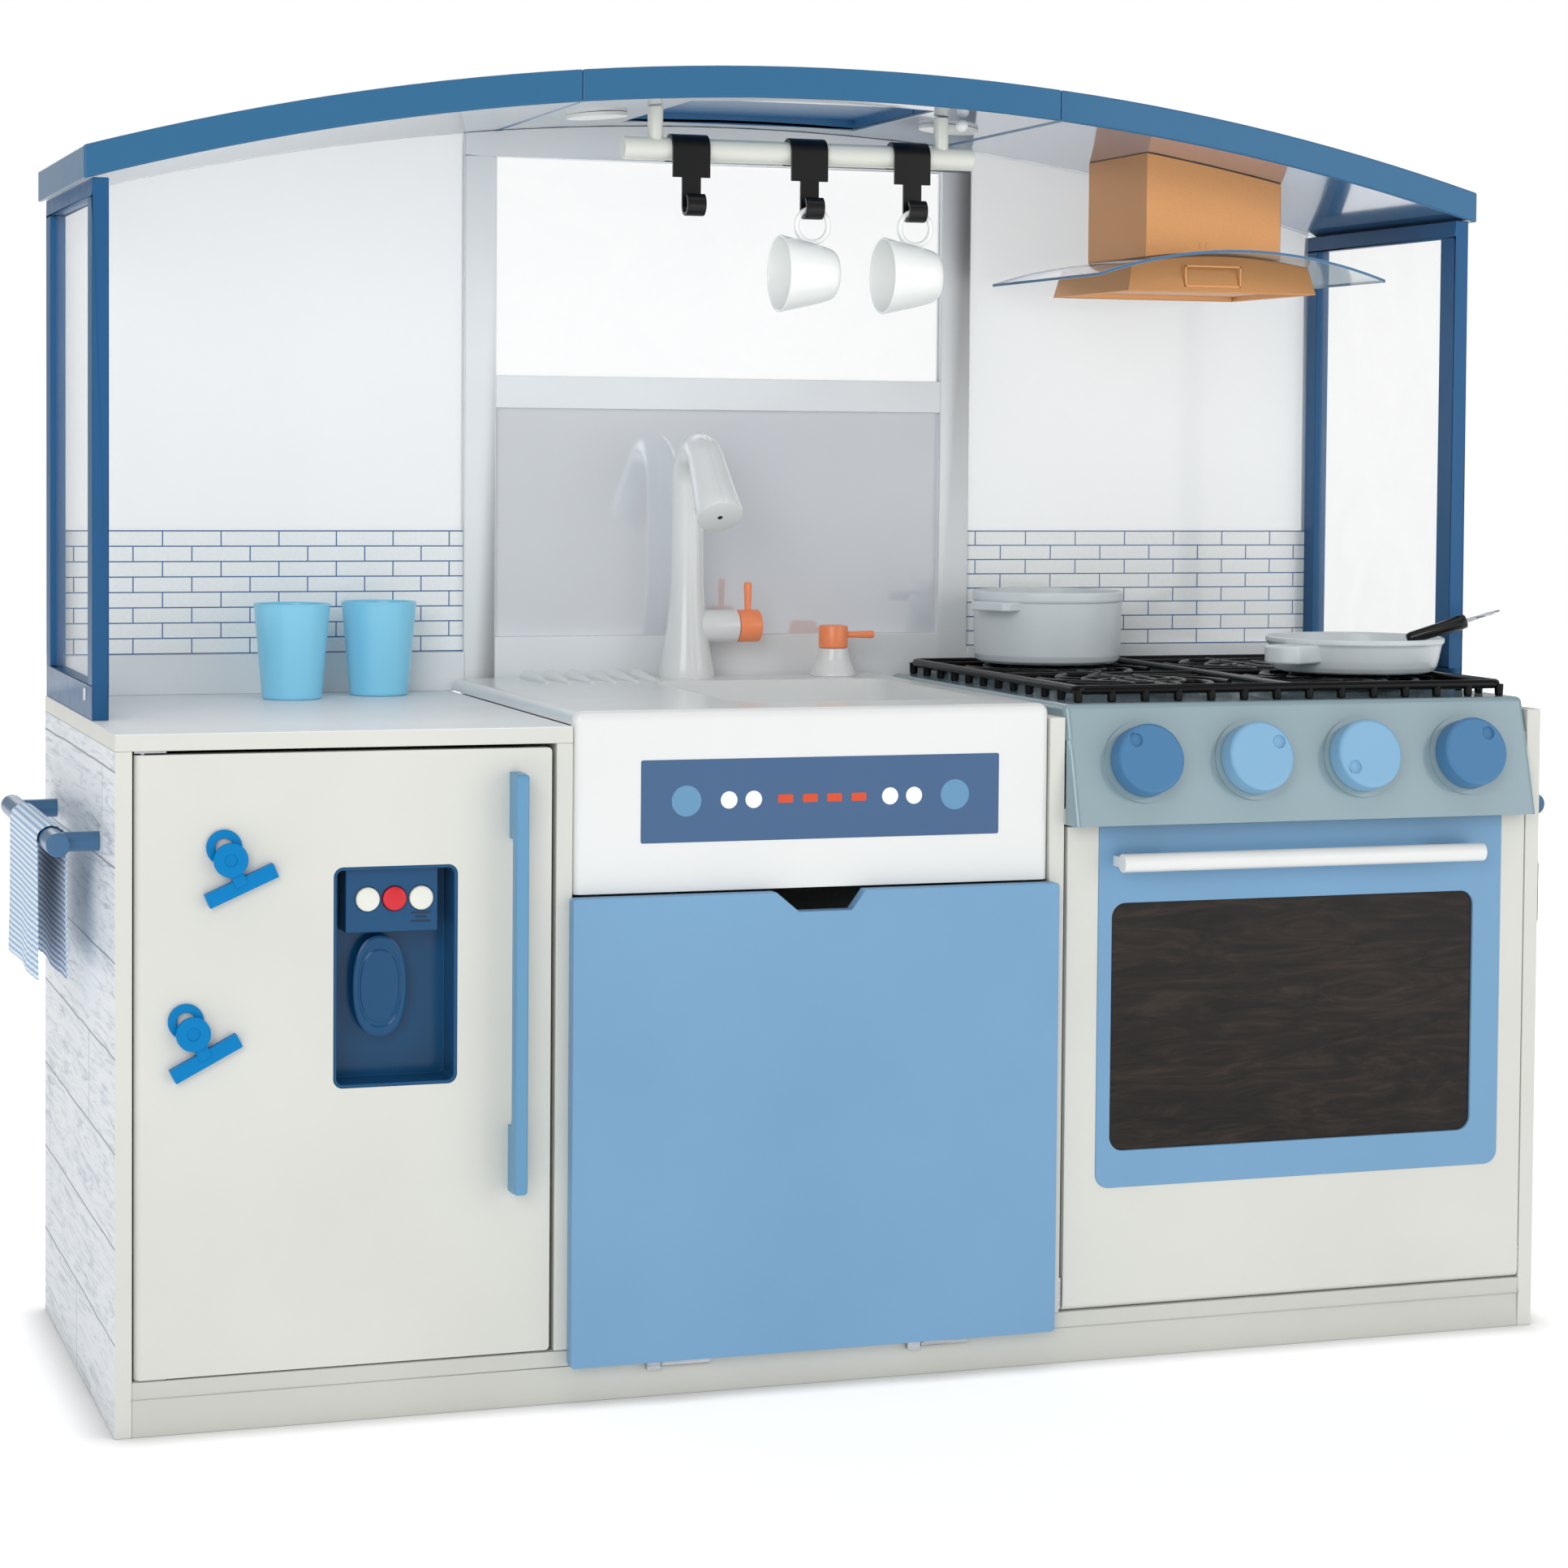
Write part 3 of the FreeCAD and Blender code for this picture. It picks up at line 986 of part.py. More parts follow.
def make_cups():
    for name, x, y in (("cup_1", -373.5, 313), ("cup_2", -298, 342)):
        body = turned(name + "_turned", [
            ("0", "0"), ("cup_base - 1", "0"), ("cup_base", "1"), ("cup_top", "cup_high"),
            ("cup_top - cup_wall", "cup_high"), ("cup_base - cup_wall", "2 * cup_wall"),
            ("0", "2 * cup_wall")])
        publish(name, place(body, (str(x), str(y), "high_top")))


def make_pot():
    body = turned("pot_turned", [
        ("0", "0"), ("pot_radius - 5", "0"), ("pot_radius - 2", "3"),
        ("pot_radius - pot_lip", "pot_high - lip_tall"), ("pot_radius", "pot_high - lip_tall"),
        ("pot_radius", "pot_high"),
        ("pot_radius - pot_wall", "pot_high"), ("pot_radius - pot_wall - 1", "2 * pot_wall"),
        ("0", "2 * pot_wall")])
    lugs = []
    for side, low, high in (("left", "-pot_lug_end", "-pot_lug_root"),
                            ("right", "pot_lug_root", "pot_lug_end")):
        lugs.append(block("pot_lug_" + side, (low, high), ("-pot_lug_half", "pot_lug_half"),
                          ("pot_high - 2 * lip_tall", "pot_high - lip_tall + 1")))
    hole = rod("pot_hollow", ("0", "0", "2 * pot_wall"), "z", "pot_high", "pot_radius - pot_wall - 1")
    whole = cut("pot_whole", join("pot_lugged", [body] + lugs), hole)
    turn = Rotation(Vector(0, 0, 1), value("pot_turn"))
    publish("pot", place(whole, ("pot_x", "pot_y", "grate_top"), turn))


def make_pan():
    body = turned("pan_turned", [
        ("0", "0"), ("pan_base", "0"), ("pan_top", "pan_high"), ("pan_top - pan_wall", "pan_high"),
        ("pan_base - pan_wall", "2 * pan_wall"), ("0", "2 * pan_wall")])
    lug = block("pan_lug", ("pan_lug_root", "pan_lug_end"), ("-pan_lug_half", "pan_lug_half"),
                ("pan_lug_low", "pan_lug_high"))
    outer_end = value("pan_lug_end")
    lug = soften("pan_lug_soft", lug, "5", lambda edge: edge.CenterOfMass.x > outer_end - 1)
    hole = rod("pan_hollow", ("0", "0", "2 * pan_wall"), "z", "pan_high", "pan_base - pan_wall",
               "pan_top - pan_wall")
    whole = cut("pan_whole", join("pan_lugged", [body, lug]), hole)
    place(whole, ("pan_x", "pan_y", "grate_top"), Rotation(Vector(0, 0, 1), value("pan_turn")))
    publish("pan", whole)


def make_turner():
    """A slotted turner that leans in the pan: grip below, steel blade out past the rim."""
    grip = rod("turner_handle", ("0", "0", "0"), "x", "turner_grip", "turner_small", "turner_large")
    shaft = rod("turner_shaft", ("turner_grip - 2", "0", "0"), "x", "blade_start - turner_grip + 4",
                "shaft_radius")
    blade = block("turner_blade", ("blade_start", "blade_end"), ("-blade_half", "blade_half"),
                  ("-blade_thick / 2", "blade_thick / 2"))
    slots = [
        block("turner_slot_%d" % i, ("slot_start", "slot_end"),
              ("%d * slot_pitch - slot_half" % i, "%d * slot_pitch + slot_half" % i),
              ("-blade_thick", "blade_thick"))
        for i in (-1, 0, 1)
    ]
    whole = join("turner_whole", [grip, shaft, cut("turner_slotted", blade, *slots)])
    yaw = Rotation(Vector(0, 0, 1), value("turner_yaw"))
    lean = yaw.multiply(Rotation(Vector(0, 1, 0), value("turner_lean")))
    publish("turner", place(whole, ("turner_x", "turner_y", "turner_z"), lean))


CLIPS = (("clip_1", -468.5, 381.4, 23.7), ("clip_2", -493, 262.3, 27.6))


def clip_turn(angle):
    """Own X along the jaw, own Y from the jaw to the head, own Z out of the door."""
    return Rotation(Vector(0, 1, 0), -angle).multiply(Rotation(Vector(1, 0, 0), 90))


def make_clips():
    backs = []
    for name, x, z, angle in CLIPS:
        spot = (str(x), "-0.2", str(z))
        half = "clip_bar / 2"
        jaw = block(name + "_back_jaw", ("-" + half, half), ("-clip_bar_tall / 2", "clip_bar_tall / 2"),
                    ("0", "clip_thick"))
        neck = block(name + "_back_neck", ("-clip_neck / 2", "clip_neck / 2"), ("0", "clip_ring_v"),
                     ("0", "clip_thick"))
        disc = rod(name + "_ring_disc", ("0", "clip_ring_v", "0"), "z", "clip_thick", "clip_ring")
        eye = rod(name + "_ring_eye", ("0", "clip_ring_v", "-1"), "z", "clip_thick + 2", "clip_ring_hole")
        back = cut(name + "_back", join(name + "_back_solid", [jaw, neck, disc]), eye)
        backs.append(place(back, spot, clip_turn(angle)))

        low = "clip_thick + clip_gap"
        front_jaw = block(name + "_front_bar", ("-" + half, half),
                          ("-clip_bar_tall / 2", "clip_bar_tall / 2"), (low, low + " + clip_thick"))
        lower_arm = block(name + "_front_arm", ("-clip_neck / 2", "clip_neck / 2"), ("0", "clip_pivot"),
                          (low, "clip_front"))
        arm = block(name + "_front_lever", ("-clip_neck / 2", "clip_neck / 2"),
                    ("clip_pivot - 1", "clip_head_v"), ("clip_thick + clip_relief", "clip_front"))
        head = rod(name + "_head", ("0", "clip_head_v", "clip_front - 1.5"), "z", "3.5", "clip_head")
        dimple = rod(name + "_head_dimple", ("0", "clip_head_v", "clip_front + 1"), "z", "3", "4.5")
        front = cut(name + "_front", join(name + "_front_solid", [front_jaw, lower_arm, arm, head]), dimple)
        publish(name + "_front_jaw", place(front, spot, clip_turn(angle)))
    publish("clip_back_jaws", backs)


make_carcass()
make_fridge_door()
make_dispenser()
hinge_pins = make_dishwasher_door()
make_oven_door()
make_pivot_plates(hinge_pins)
make_sink()
make_faucet()
make_tap()
make_stove_top()
make_knobs()
make_grate()
make_back_frame(make_side_windows())
make_roof()
make_hood()
make_rail()
make_hooks()
make_mugs()
make_side_rails()
make_towel()
make_side_plate()
make_cups()
make_pot()
make_pan()
make_turner()
make_clips()
doc.recompute()

for thing in doc.Objects:
    if "Invalid" in thing.State or "Error" in thing.State:
        raise RuntimeError("%s failed: %s" % (thing.Name, thing.State))
for label, thing in subparts.items():
    if thing.Shape.isNull() or not thing.Shape.isValid():
        raise RuntimeError(label + " has no valid shape")

os.makedirs("parts", exist_ok=True)
whole = FreeCAD.BoundBox()
for label, thing in subparts.items():
    thing.Shape.exportStep("parts/" + label + ".step")
    whole.add(thing.Shape.BoundBox)
    print("%-26s %2d solids %12.1f mm3" % (label, len(thing.Shape.Solids), thing.Shape.Volume))
print("pieces", len(subparts), "box", whole)
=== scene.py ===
"""Looks of the toy kitchen: materials, moulded and turned details, the towel, light and camera."""
import json
import math

import bmesh
import bpy
from mathutils import Matrix, Vector


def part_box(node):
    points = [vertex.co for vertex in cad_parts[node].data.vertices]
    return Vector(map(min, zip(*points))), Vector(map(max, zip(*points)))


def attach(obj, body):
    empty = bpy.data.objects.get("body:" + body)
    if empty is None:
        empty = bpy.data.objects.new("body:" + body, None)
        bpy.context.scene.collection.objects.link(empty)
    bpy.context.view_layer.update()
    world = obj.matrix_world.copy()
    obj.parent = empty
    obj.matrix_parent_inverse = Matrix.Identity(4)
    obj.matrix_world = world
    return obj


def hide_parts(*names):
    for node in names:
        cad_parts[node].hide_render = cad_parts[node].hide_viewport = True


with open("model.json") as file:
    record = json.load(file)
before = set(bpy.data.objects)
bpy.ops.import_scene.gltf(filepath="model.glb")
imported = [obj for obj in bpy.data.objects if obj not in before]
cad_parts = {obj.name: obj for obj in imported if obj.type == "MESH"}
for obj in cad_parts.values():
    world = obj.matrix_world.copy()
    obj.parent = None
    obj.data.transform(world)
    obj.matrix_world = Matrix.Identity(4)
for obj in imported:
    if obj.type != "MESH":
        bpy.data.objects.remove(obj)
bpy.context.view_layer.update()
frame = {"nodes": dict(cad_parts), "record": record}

MM = 0.001
scene = bpy.context.scene

# The carcass is the ruler: x is measured from its middle and y from its front face, in millimetres.
CARCASS_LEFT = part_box("left_side_panel")[0]
CARCASS_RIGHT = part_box("right_side_panel")[1]
MIDDLE_X = (CARCASS_LEFT.x + CARCASS_RIGHT.x) / 2
FRONT_Y = CARCASS_LEFT.y


def at(x, y, z):
    """A point of the carcass, in millimetres, as a point of the frame."""
    return Vector((MIDDLE_X + x * MM, FRONT_Y + y * MM, z * MM))


def centre_of(node):
    low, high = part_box(node)
    return (low + high) / 2


# ---------------------------------------------------------------- materials

def linear(code):
    """A scene-linear colour from a hex code."""
    parts = [int(code[i:i + 2], 16) / 255 for i in (0, 2, 4)]
    return tuple(c / 12.92 if c <= 0.04045 else ((c + 0.055) / 1.055) ** 2.4 for c in parts) + (1.0,)


class Shade:
    """A small wrapper that builds one node material."""

    def __init__(self, name):
        self.material = bpy.data.materials.new(name)
        self.material.use_nodes = True
        self.nodes = self.material.node_tree.nodes
        self.links = self.material.node_tree.links
        self.shader = self.nodes["Principled BSDF"]
        self.where = self.nodes.new("ShaderNodeTexCoord").outputs["Object"]

    def set(self, **values):
        for socket, number in values.items():
            self.shader.inputs[socket.replace("_", " ")].default_value = number
        return self

    def link(self, source, target):
        self.links.new(source, self.shader.inputs[target] if isinstance(target, str) else target)

    def scaled(self, scale):
        node = self.nodes.new("ShaderNodeMapping")
        node.inputs["Scale"].default_value = scale
        self.links.new(self.where, node.inputs["Vector"])
        return node.outputs["Vector"]

    def noise(self, scale, detail=4.0, roughness=0.55, where=None, distortion=0.0):
        node = self.nodes.new("ShaderNodeTexNoise")
        node.inputs["Scale"].default_value = scale
        node.inputs["Detail"].default_value = detail
        node.inputs["Roughness"].default_value = roughness
        node.inputs["Distortion"].default_value = distortion
        self.links.new(self.where if where is None else where, node.inputs["Vector"])
        return node.outputs["Fac"]

    def ramp(self, source, stops):
        node = self.nodes.new("ShaderNodeValToRGB")
        elements = node.color_ramp.elements
        while len(elements) < len(stops):
            elements.new(0.5)
        for element, (position, colour) in zip(elements, stops):
            element.position = position
            element.color = colour
        self.links.new(source, node.inputs["Fac"])
        return node.outputs["Color"]

    def spread(self, source, low, high):
        """Map 0..1 to a narrow range of values."""
        node = self.nodes.new("ShaderNodeMapRange")
        node.inputs["To Min"].default_value = low
        node.inputs["To Max"].default_value = high
        self.links.new(source, node.inputs["Value"])
        return node.outputs["Result"]

    def mix(self, share, first, second, mode="MIX"):
        node = self.nodes.new("ShaderNodeMix")
        node.data_type = "RGBA"
        node.blend_type = mode
        for value, socket in ((share, node.inputs[0]), (first, node.inputs[6]), (second, node.inputs[7])):
            if isinstance(value, bpy.types.NodeSocket):
                self.links.new(value, socket)
            else:
                socket.default_value = value
        return node.outputs[2]

    def math(self, operation, first, second=0.0, third=0.0):
        node = self.nodes.new("ShaderNodeMath")
        node.operation = operation
        for value, socket in zip((first, second, third), node.inputs):
            if isinstance(value, bpy.types.NodeSocket):
                self.links.new(value, socket)
            else:
                socket.default_value = value
        return node.outputs[0]

    def bump(self, source, strength, distance):
        node = self.nodes.new("ShaderNodeBump")
        node.inputs["Strength"].default_value = strength
        node.inputs["Distance"].default_value = distance
        self.links.new(source, node.inputs["Height"])
        self.links.new(node.outputs["Normal"], self.shader.inputs["Normal"])


def shifted(colour, factor):
    return tuple(min(1.0, c * factor) for c in colour[:3]) + (1.0,)


def painted(name, code, roughness=0.42, grain=0.16, specular=0.45):
    """Satin paint on fibre board: soft roller texture, faint cloudiness, slightly uneven sheen."""
    shade = Shade(name)
    colour = linear(code)
    cloud = shade.noise(5.0, 3.0)
    shade.link(shade.ramp(cloud, [(0.3, shifted(colour, 0.955)), (0.7, shifted(colour, 1.03))]), "Base Color")
    shade.link(shade.spread(shade.noise(60.0, 3.0), roughness - 0.06, roughness + 0.08), "Roughness")
    shade.bump(shade.noise(900.0, 2.0), grain, 0.0002)
    shade.set(Specular_IOR_Level=specular)
    return shade.material


def moulded(name, code, roughness=0.28, coat=0.0, grain=0.05, metallic=0.0, specular=0.45):
    """Injection-moulded plastic: even colour with faint flow marks and a very fine skin texture."""
    shade = Shade(name)
    colour = linear(code)
    flow = shade.noise(9.0, 2.0, distortion=0.6)
    shade.link(shade.ramp(flow, [(0.3, shifted(colour, 0.988)), (0.7, shifted(colour, 1.012))]), "Base Color")
    shade.link(shade.spread(shade.noise(35.0, 4.0), roughness - 0.015, roughness + 0.02), "Roughness")
    shade.bump(shade.noise(700.0, 2.0), grain, 0.0001)
    shade.set(Coat_Weight=coat, Coat_Roughness=0.08, Metallic=metallic, Specular_IOR_Level=specular)
    return shade.material


def clear(name, code, alpha, roughness=0.04):
    """A thin clear sheet: mostly see-through, with a faint tint, smears and a clean reflection."""
    shade = Shade(name)
    shade.set(Base_Color=linear(code), Specular_IOR_Level=0.5)
    smear = shade.noise(14.0, 5.0, distortion=1.2)
    shade.link(shade.spread(smear, max(0.0, alpha - 0.04), min(1.0, alpha + 0.04)), "Alpha")
    shade.link(shade.spread(shade.noise(50.0, 4.0), roughness, roughness + 0.05), "Roughness")
    return shade.material


def stripe(shade, coordinate, period, offset, width):
    """1 inside a repeating line of the given width, 0 elsewhere, along one coordinate."""
    phase = shade.math("DIVIDE", shade.math("ADD", coordinate, -offset), period)
    part = shade.math("FRACT", phase)
    near = shade.math("MINIMUM", part, shade.math("SUBTRACT", 1.0, part))
    return shade.math("LESS_THAN", near, width / period / 2)


def separated(shade):
    node = shade.nodes.new("ShaderNodeSeparateXYZ")
    shade.links.new(shade.where, node.inputs["Vector"])
    return node.outputs


TILE_LOW, TILE_ROWS, TILE_HIGH, TILE_LONG, TILE_JOINT = 519.8, 8, 12.2, 46.5, 1.0


def tile_sheet(name):
    """Clear sheet with a band of white subway tiles printed along its foot, in running bond."""
    shade = Shade(name)
    x, _, z = separated(shade)
    band = TILE_ROWS * TILE_HIGH
    height = shade.math("ADD", z, -TILE_LOW * MM)
    row = shade.math("FLOOR", shade.math("DIVIDE", height, TILE_HIGH * MM))
    even = shade.math("SUBTRACT", 1.0, shade.math("MODULO", row, 2.0))
    right_pane = shade.math("MULTIPLY", shade.math("GREATER_THAN", x, MIDDLE_X + 220 * MM), 4.5 * MM)
    along = shade.math("ADD", x, shade.math("MULTIPLY", even, TILE_LONG * MM / 2))
    along = shade.math("ADD", along, right_pane)
    level = stripe(shade, height, TILE_HIGH * MM, 0.0, TILE_JOINT * MM)
    upright = stripe(shade, along, TILE_LONG * MM, MIDDLE_X - 464 * MM, TILE_JOINT * MM)
    joint = shade.math("MAXIMUM", level, upright)
    inside = shade.math("MULTIPLY", shade.math("GREATER_THAN", height, -TILE_JOINT * MM / 2),
                        shade.math("LESS_THAN", height, (band + TILE_JOINT / 2) * MM))
    speckle = shade.noise(400.0, 2.0)
    tile = shade.ramp(speckle, [(0.3, linear("F3F7F7")), (0.7, linear("F9FCFC"))])
    ink = shade.mix(joint, tile, linear("4A6FA0"))
    shade.link(shade.mix(inside, linear("EEF2F4"), ink), "Base Color")
    see = shade.math("MULTIPLY", inside, 0.62)
    shade.link(shade.math("ADD", see, 0.36), "Alpha")
    shade.link(shade.spread(shade.noise(40.0, 4.0), 0.04, 0.12), "Roughness")
    return shade.material


PLANK_HIGH, PLANK_LONG = 66.0, 620.0


def plank_board(name):
    """Whitewashed plank print: wavy dark seams, grey grain lines and worn, brighter patches."""
    shade = Shade(name)
    _, y, z = separated(shade)
    wave = shade.math("MULTIPLY", shade.math("SUBTRACT", shade.noise(9.0, 2.0), 0.5), 0.004)
    height = shade.math("ADD", z, wave)
    row = shade.math("FLOOR", shade.math("DIVIDE", height, PLANK_HIGH * MM))
    shift = shade.math("MULTIPLY", row, 0.37 * PLANK_LONG * MM)
    along = shade.math("ADD", shade.math("ADD", y, shift), wave)
    seam = stripe(shade, height, PLANK_HIGH * MM, 0.0, 1.5 * MM)
    butt = stripe(shade, along, PLANK_LONG * MM, 0.02, 1.5 * MM)
    join = shade.math("MAXIMUM", seam, butt)
    stretched = shade.nodes.new("ShaderNodeCombineXYZ")
    shade.links.new(shade.math("MULTIPLY", shade.math("ADD", row, 1.0), 3.7), stretched.inputs["X"])
    shade.links.new(shade.math("MULTIPLY", along, 5.0), stretched.inputs["Y"])
    shade.links.new(shade.math("MULTIPLY", z, 60.0), stretched.inputs["Z"])
    grain = shade.noise(2.2, 8.0, 0.7, stretched.outputs["Vector"], 1.6)
    base = shade.ramp(grain, [(0.30, linear("A9B3BF")), (0.42, linear("D3DAE2")), (0.50, linear("EEF2F6")),
                              (0.62, linear("F8FAFC")), (0.75, linear("DDE3EA"))])
    worn = shade.ramp(shade.noise(7.0, 6.0, 0.7), [(0.45, (0, 0, 0, 1)), (0.7, (0.55, 0.55, 0.55, 1))])
    base = shade.mix(worn, base, linear("F4F6FA"))
    warm = shade.ramp(shade.noise(16.0, 5.0, 0.75), [(0.60, (0, 0, 0, 1)), (0.78, (0.22, 0.22, 0.22, 1))])
    base = shade.mix(warm, base, linear("B9A692"))
    base = shade.mix(shade.math("MULTIPLY", join, 0.8), base, linear("6C7480"))
    shade.link(shade.mix(1.0, base, (0.88, 0.90, 0.91, 1.0), "MULTIPLY"), "Base Color")
    shade.link(shade.spread(grain, 0.38, 0.6), "Roughness")
    shade.bump(shade.math("SUBTRACT", grain, shade.math("MULTIPLY", join, 1.5)), 0.12, 0.0004)
    return shade.material


def smoked_window(name):
    """Dark smoked sheet with the streaky brown grain of the oven's inside showing in it."""
    shade = Shade(name)
    streaks = shade.noise(2.4, 7.0, 0.65, shade.scaled((4.0, 1.0, 22.0)), 2.2)
    body = shade.ramp(streaks, [(0.3, linear("171412")), (0.5, linear("221D1A")), (0.66, linear("342A24")),
                                (0.8, linear("262220"))])
    shade.link(body, "Base Color")
    shade.link(shade.spread(shade.noise(30.0, 3.0), 0.14, 0.24), "Roughness")
    shade.set(Specular_IOR_Level=0.2)
    return shade.material


def copper_paint(name):
    """Copper-coloured metallic plastic, with fine flake and a soft sheen."""
    shade = Shade(name)
    flake = shade.noise(1800.0, 2.0)
    shade.link(shade.ramp(flake, [(0.3, linear("CE935F")), (0.7, linear("D79D68"))]), "Base Color")
    shade.link(shade.spread(shade.noise(20.0, 3.0), 0.37, 0.43), "Roughness")
    shade.bump(flake, 0.05, 0.0001)
    shade.set(Metallic=0.65, Specular_IOR_Level=0.5)
    return shade.material


SOFFIT_SPAN = 1120.0


def glossy_soffit(name):
    """Polished plastic, graded from pale grey on the left to blue on the right.

    The grading is a stand-in for what the polished underside mirrors when seen from the front.
    """
    shade = Shade(name)
    across = shade.math("ADD", shade.math("DIVIDE", separated(shade)["X"], SOFFIT_SPAN * MM), 0.5)
    tone = shade.ramp(across, [(0.05, linear("D8DFE6")), (0.5, linear("8A98A5")), (0.68, linear("5C7C9A")),
                                (0.95, linear("4A739C"))])
    shade.link(tone, "Base Color")
    shade.link(shade.spread(shade.noise(30.0, 3.0), 0.1, 0.13), "Roughness")
    shade.set(Coat_Weight=0.5, Coat_Roughness=0.05)
    return shade.material


def steel(name):
    """Zinc-plated steel with fine brushing."""
    shade = Shade(name)
    brush = shade.noise(8.0, 6.0, 0.6, shade.scaled((4.0, 90.0, 90.0)))
    shade.link(shade.ramp(brush, [(0.3, linear("9A9CA0")), (0.7, linear("D3D5D8"))]), "Base Color")
    shade.link(shade.spread(brush, 0.18, 0.36), "Roughness")
    shade.set(Metallic=1.0)
    return shade.material


def mirror_film(name):
    """Slightly cloudy mirror film."""
    shade = Shade(name)
    haze = shade.noise(3.0, 4.0, 0.6)
    shade.link(shade.ramp(haze, [(0.3, linear("E3E7ED")), (0.7, linear("EAEEF2"))]), "Base Color")
    shade.link(shade.spread(haze, 0.03, 0.07), "Roughness")
    shade.set(Metallic=0.35, Specular_IOR_Level=0.5)
    return shade.material


def towel_cloth(name, ground, line):
    """Woven cotton in narrow stripes across the hang, by the cloth's own length."""
    shade = Shade(name)
    layer = shade.nodes.new("ShaderNodeUVMap")
    layer.uv_map = "cut"
    split = shade.nodes.new("ShaderNodeSeparateXYZ")
    shade.links.new(layer.outputs["UV"], split.inputs["Vector"])
    u, v = split.outputs["X"], split.outputs["Y"]
    band = stripe(shade, v, 0.0043, 0.0, 0.0021)
    warp = shade.math("SINE", shade.math("MULTIPLY", u, 2 * math.pi / 0.0011))
    weft = shade.math("SINE", shade.math("MULTIPLY", v, 2 * math.pi / 0.0011))
    weave = shade.math("MULTIPLY", warp, weft)
    fibre = shade.noise(700.0, 3.0)
    cloth = shade.mix(band, linear(ground), linear(line))
    shade.link(shade.mix(shade.spread(fibre, 0.0, 0.25), cloth, linear("FFFFFF")), "Base Color")
    shade.bump(shade.math("ADD", weave, fibre), 0.35, 0.0003)
    shade.set(Roughness=0.92, Sheen_Weight=0.25)
    return shade.material


SLOT_LOOKS = {
    "cream_board": painted("cream_paint", "D6D7D0"),
    "plank_board": plank_board("plank_print"),
    "sky_board": painted("sky_paint", "729FC3"),
    "white_board": painted("white_paint", "E8ECEE"),
    "blue_board": painted("window_paint", "1D5684", 0.36, specular=0.25),
    "roof_blue": moulded("roof_plastic", "2C658D", 0.30, 0.12, specular=0.3),
    "soffit_grey": glossy_soffit("soffit_plastic"),
    "white_plastic": moulded("white_plastic_skin", "E4E6E5", 0.24, 0.25, 0.02),
    "lamp_white": moulded("lamp_plastic", "EFF1EE", 0.3),
    "orange_plastic": moulded("orange_skin", "FF9462", 0.3),
    "stove_blue": moulded("stove_skin", "869DA5", 0.2, 0.5),
    "knob_dark": moulded("knob_dark_skin", "487BA6", 0.42, 0.0, 0.12, specular=0.3),
    "knob_light": moulded("knob_light_skin", "80AFD0", 0.42, 0.0, 0.12),
    "grate_black": moulded("grate_skin", "060607", 0.22, specular=0.18),
    "navy_plastic": moulded("navy_skin", "0D4B76", 0.2, 0.08, specular=0.25),
    "button_white": moulded("button_white_skin", "E4E6DC", 0.35),
    "button_red": moulded("button_red_skin", "D2202C", 0.35),
    "handle_blue": moulded("handle_skin", "5F95B9", 0.36),
    "clip_blue": moulded("clip_skin", "007CBC", 0.26, specular=0.12),
    "clear_sheet": clear("clear_acrylic", "FAFCFE", 0.09),
    "print_sheet": tile_sheet("tile_print"),
    "mirror_sheet": mirror_film("mirror_film"),
    "dark_glass": smoked_window("smoked_acrylic"),
    "copper_plastic": copper_paint("copper_skin"),
    "visor_sheet": clear("visor_acrylic", "A9C3CC", 0.45, 0.03),
    "rail_cream": moulded("rail_skin", "DADCD3", 0.3, 0.1),
    "black_plastic": moulded("black_skin", "0A0A0B", 0.28, 0.1, specular=0.3),
    "mug_white": moulded("mug_skin", "F3F6F4", 0.24, 0.2),
    "cup_blue": moulded("cup_skin", "8AD6F4", 0.26, 0.1),
    "pan_grey": moulded("pan_skin", "D6DDE0", 0.3),
    "turner_black": moulded("grip_skin", "0C0C0D", 0.25, 0.1, specular=0.3),
    "hinge_steel": steel("plated_steel"),
    "rail_blue": moulded("towel_rail_skin", "3C6990", 0.3),
    "towel_cloth": towel_cloth("towel_face", "E2F0FA", "74A9DA"),
}
NODE_SLOTS = {row["node"]: row["material_slot"] for row in frame["record"]["subparts"]}
NODE_BODIES = {node: body for body, members in frame["record"]["behaviour"]["bodies"].items()
               for node in members}
visor_edge = moulded("visor_edge", "2F6690", 0.2)
sticker_navy = painted("sticker_navy", "3D5F87", 0.35, 0.05)
sticker_sky = painted("sticker_sky", "6293B8", 0.35, 0.05)
sticker_white = painted("sticker_white", "F3F6FA", 0.35, 0.05)
sticker_red = painted("sticker_red", "D64A22", 0.35, 0.05)
towel_back = towel_cloth("towel_back", "3C6A9E", "C8DCF0")
bright_steel = steel("bright_steel")
# the base boards' cream darkened to grey: painted shade, for the shadow the doors cast on the set-back plinth
plinth_painted_shade = painted("plinth_painted_shade", "C9CAC3")
mark_painted_shade = moulded("mark_painted_shade", "122A44", 0.4)


# ---------------------------------------------------------------- mesh helpers

def piece(name, data, body, slot, replaced=(), look=None):
    """Link a finished mesh or curve as one piece of the object, in its slot's look unless told another."""
    thing = bpy.data.objects.new(name, data)
    scene.collection.objects.link(thing)
    data.materials.append(look or SLOT_LOOKS[slot])
    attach(thing, body)
    if replaced:
        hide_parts(*replaced)
    return thing


def to_mesh(bm, name, angle=35.0):
    """A smooth-shaded mesh that stays sharp where faces meet at more than the angle."""
    bmesh.ops.recalc_face_normals(bm, faces=bm.faces)
    mesh = bpy.data.meshes.new(name)
    bm.to_mesh(mesh)
    bm.free()
    mesh.polygons.foreach_set("use_smooth", [True] * len(mesh.polygons))
    mesh.set_sharp_from_angle(angle=math.radians(angle))
    return mesh


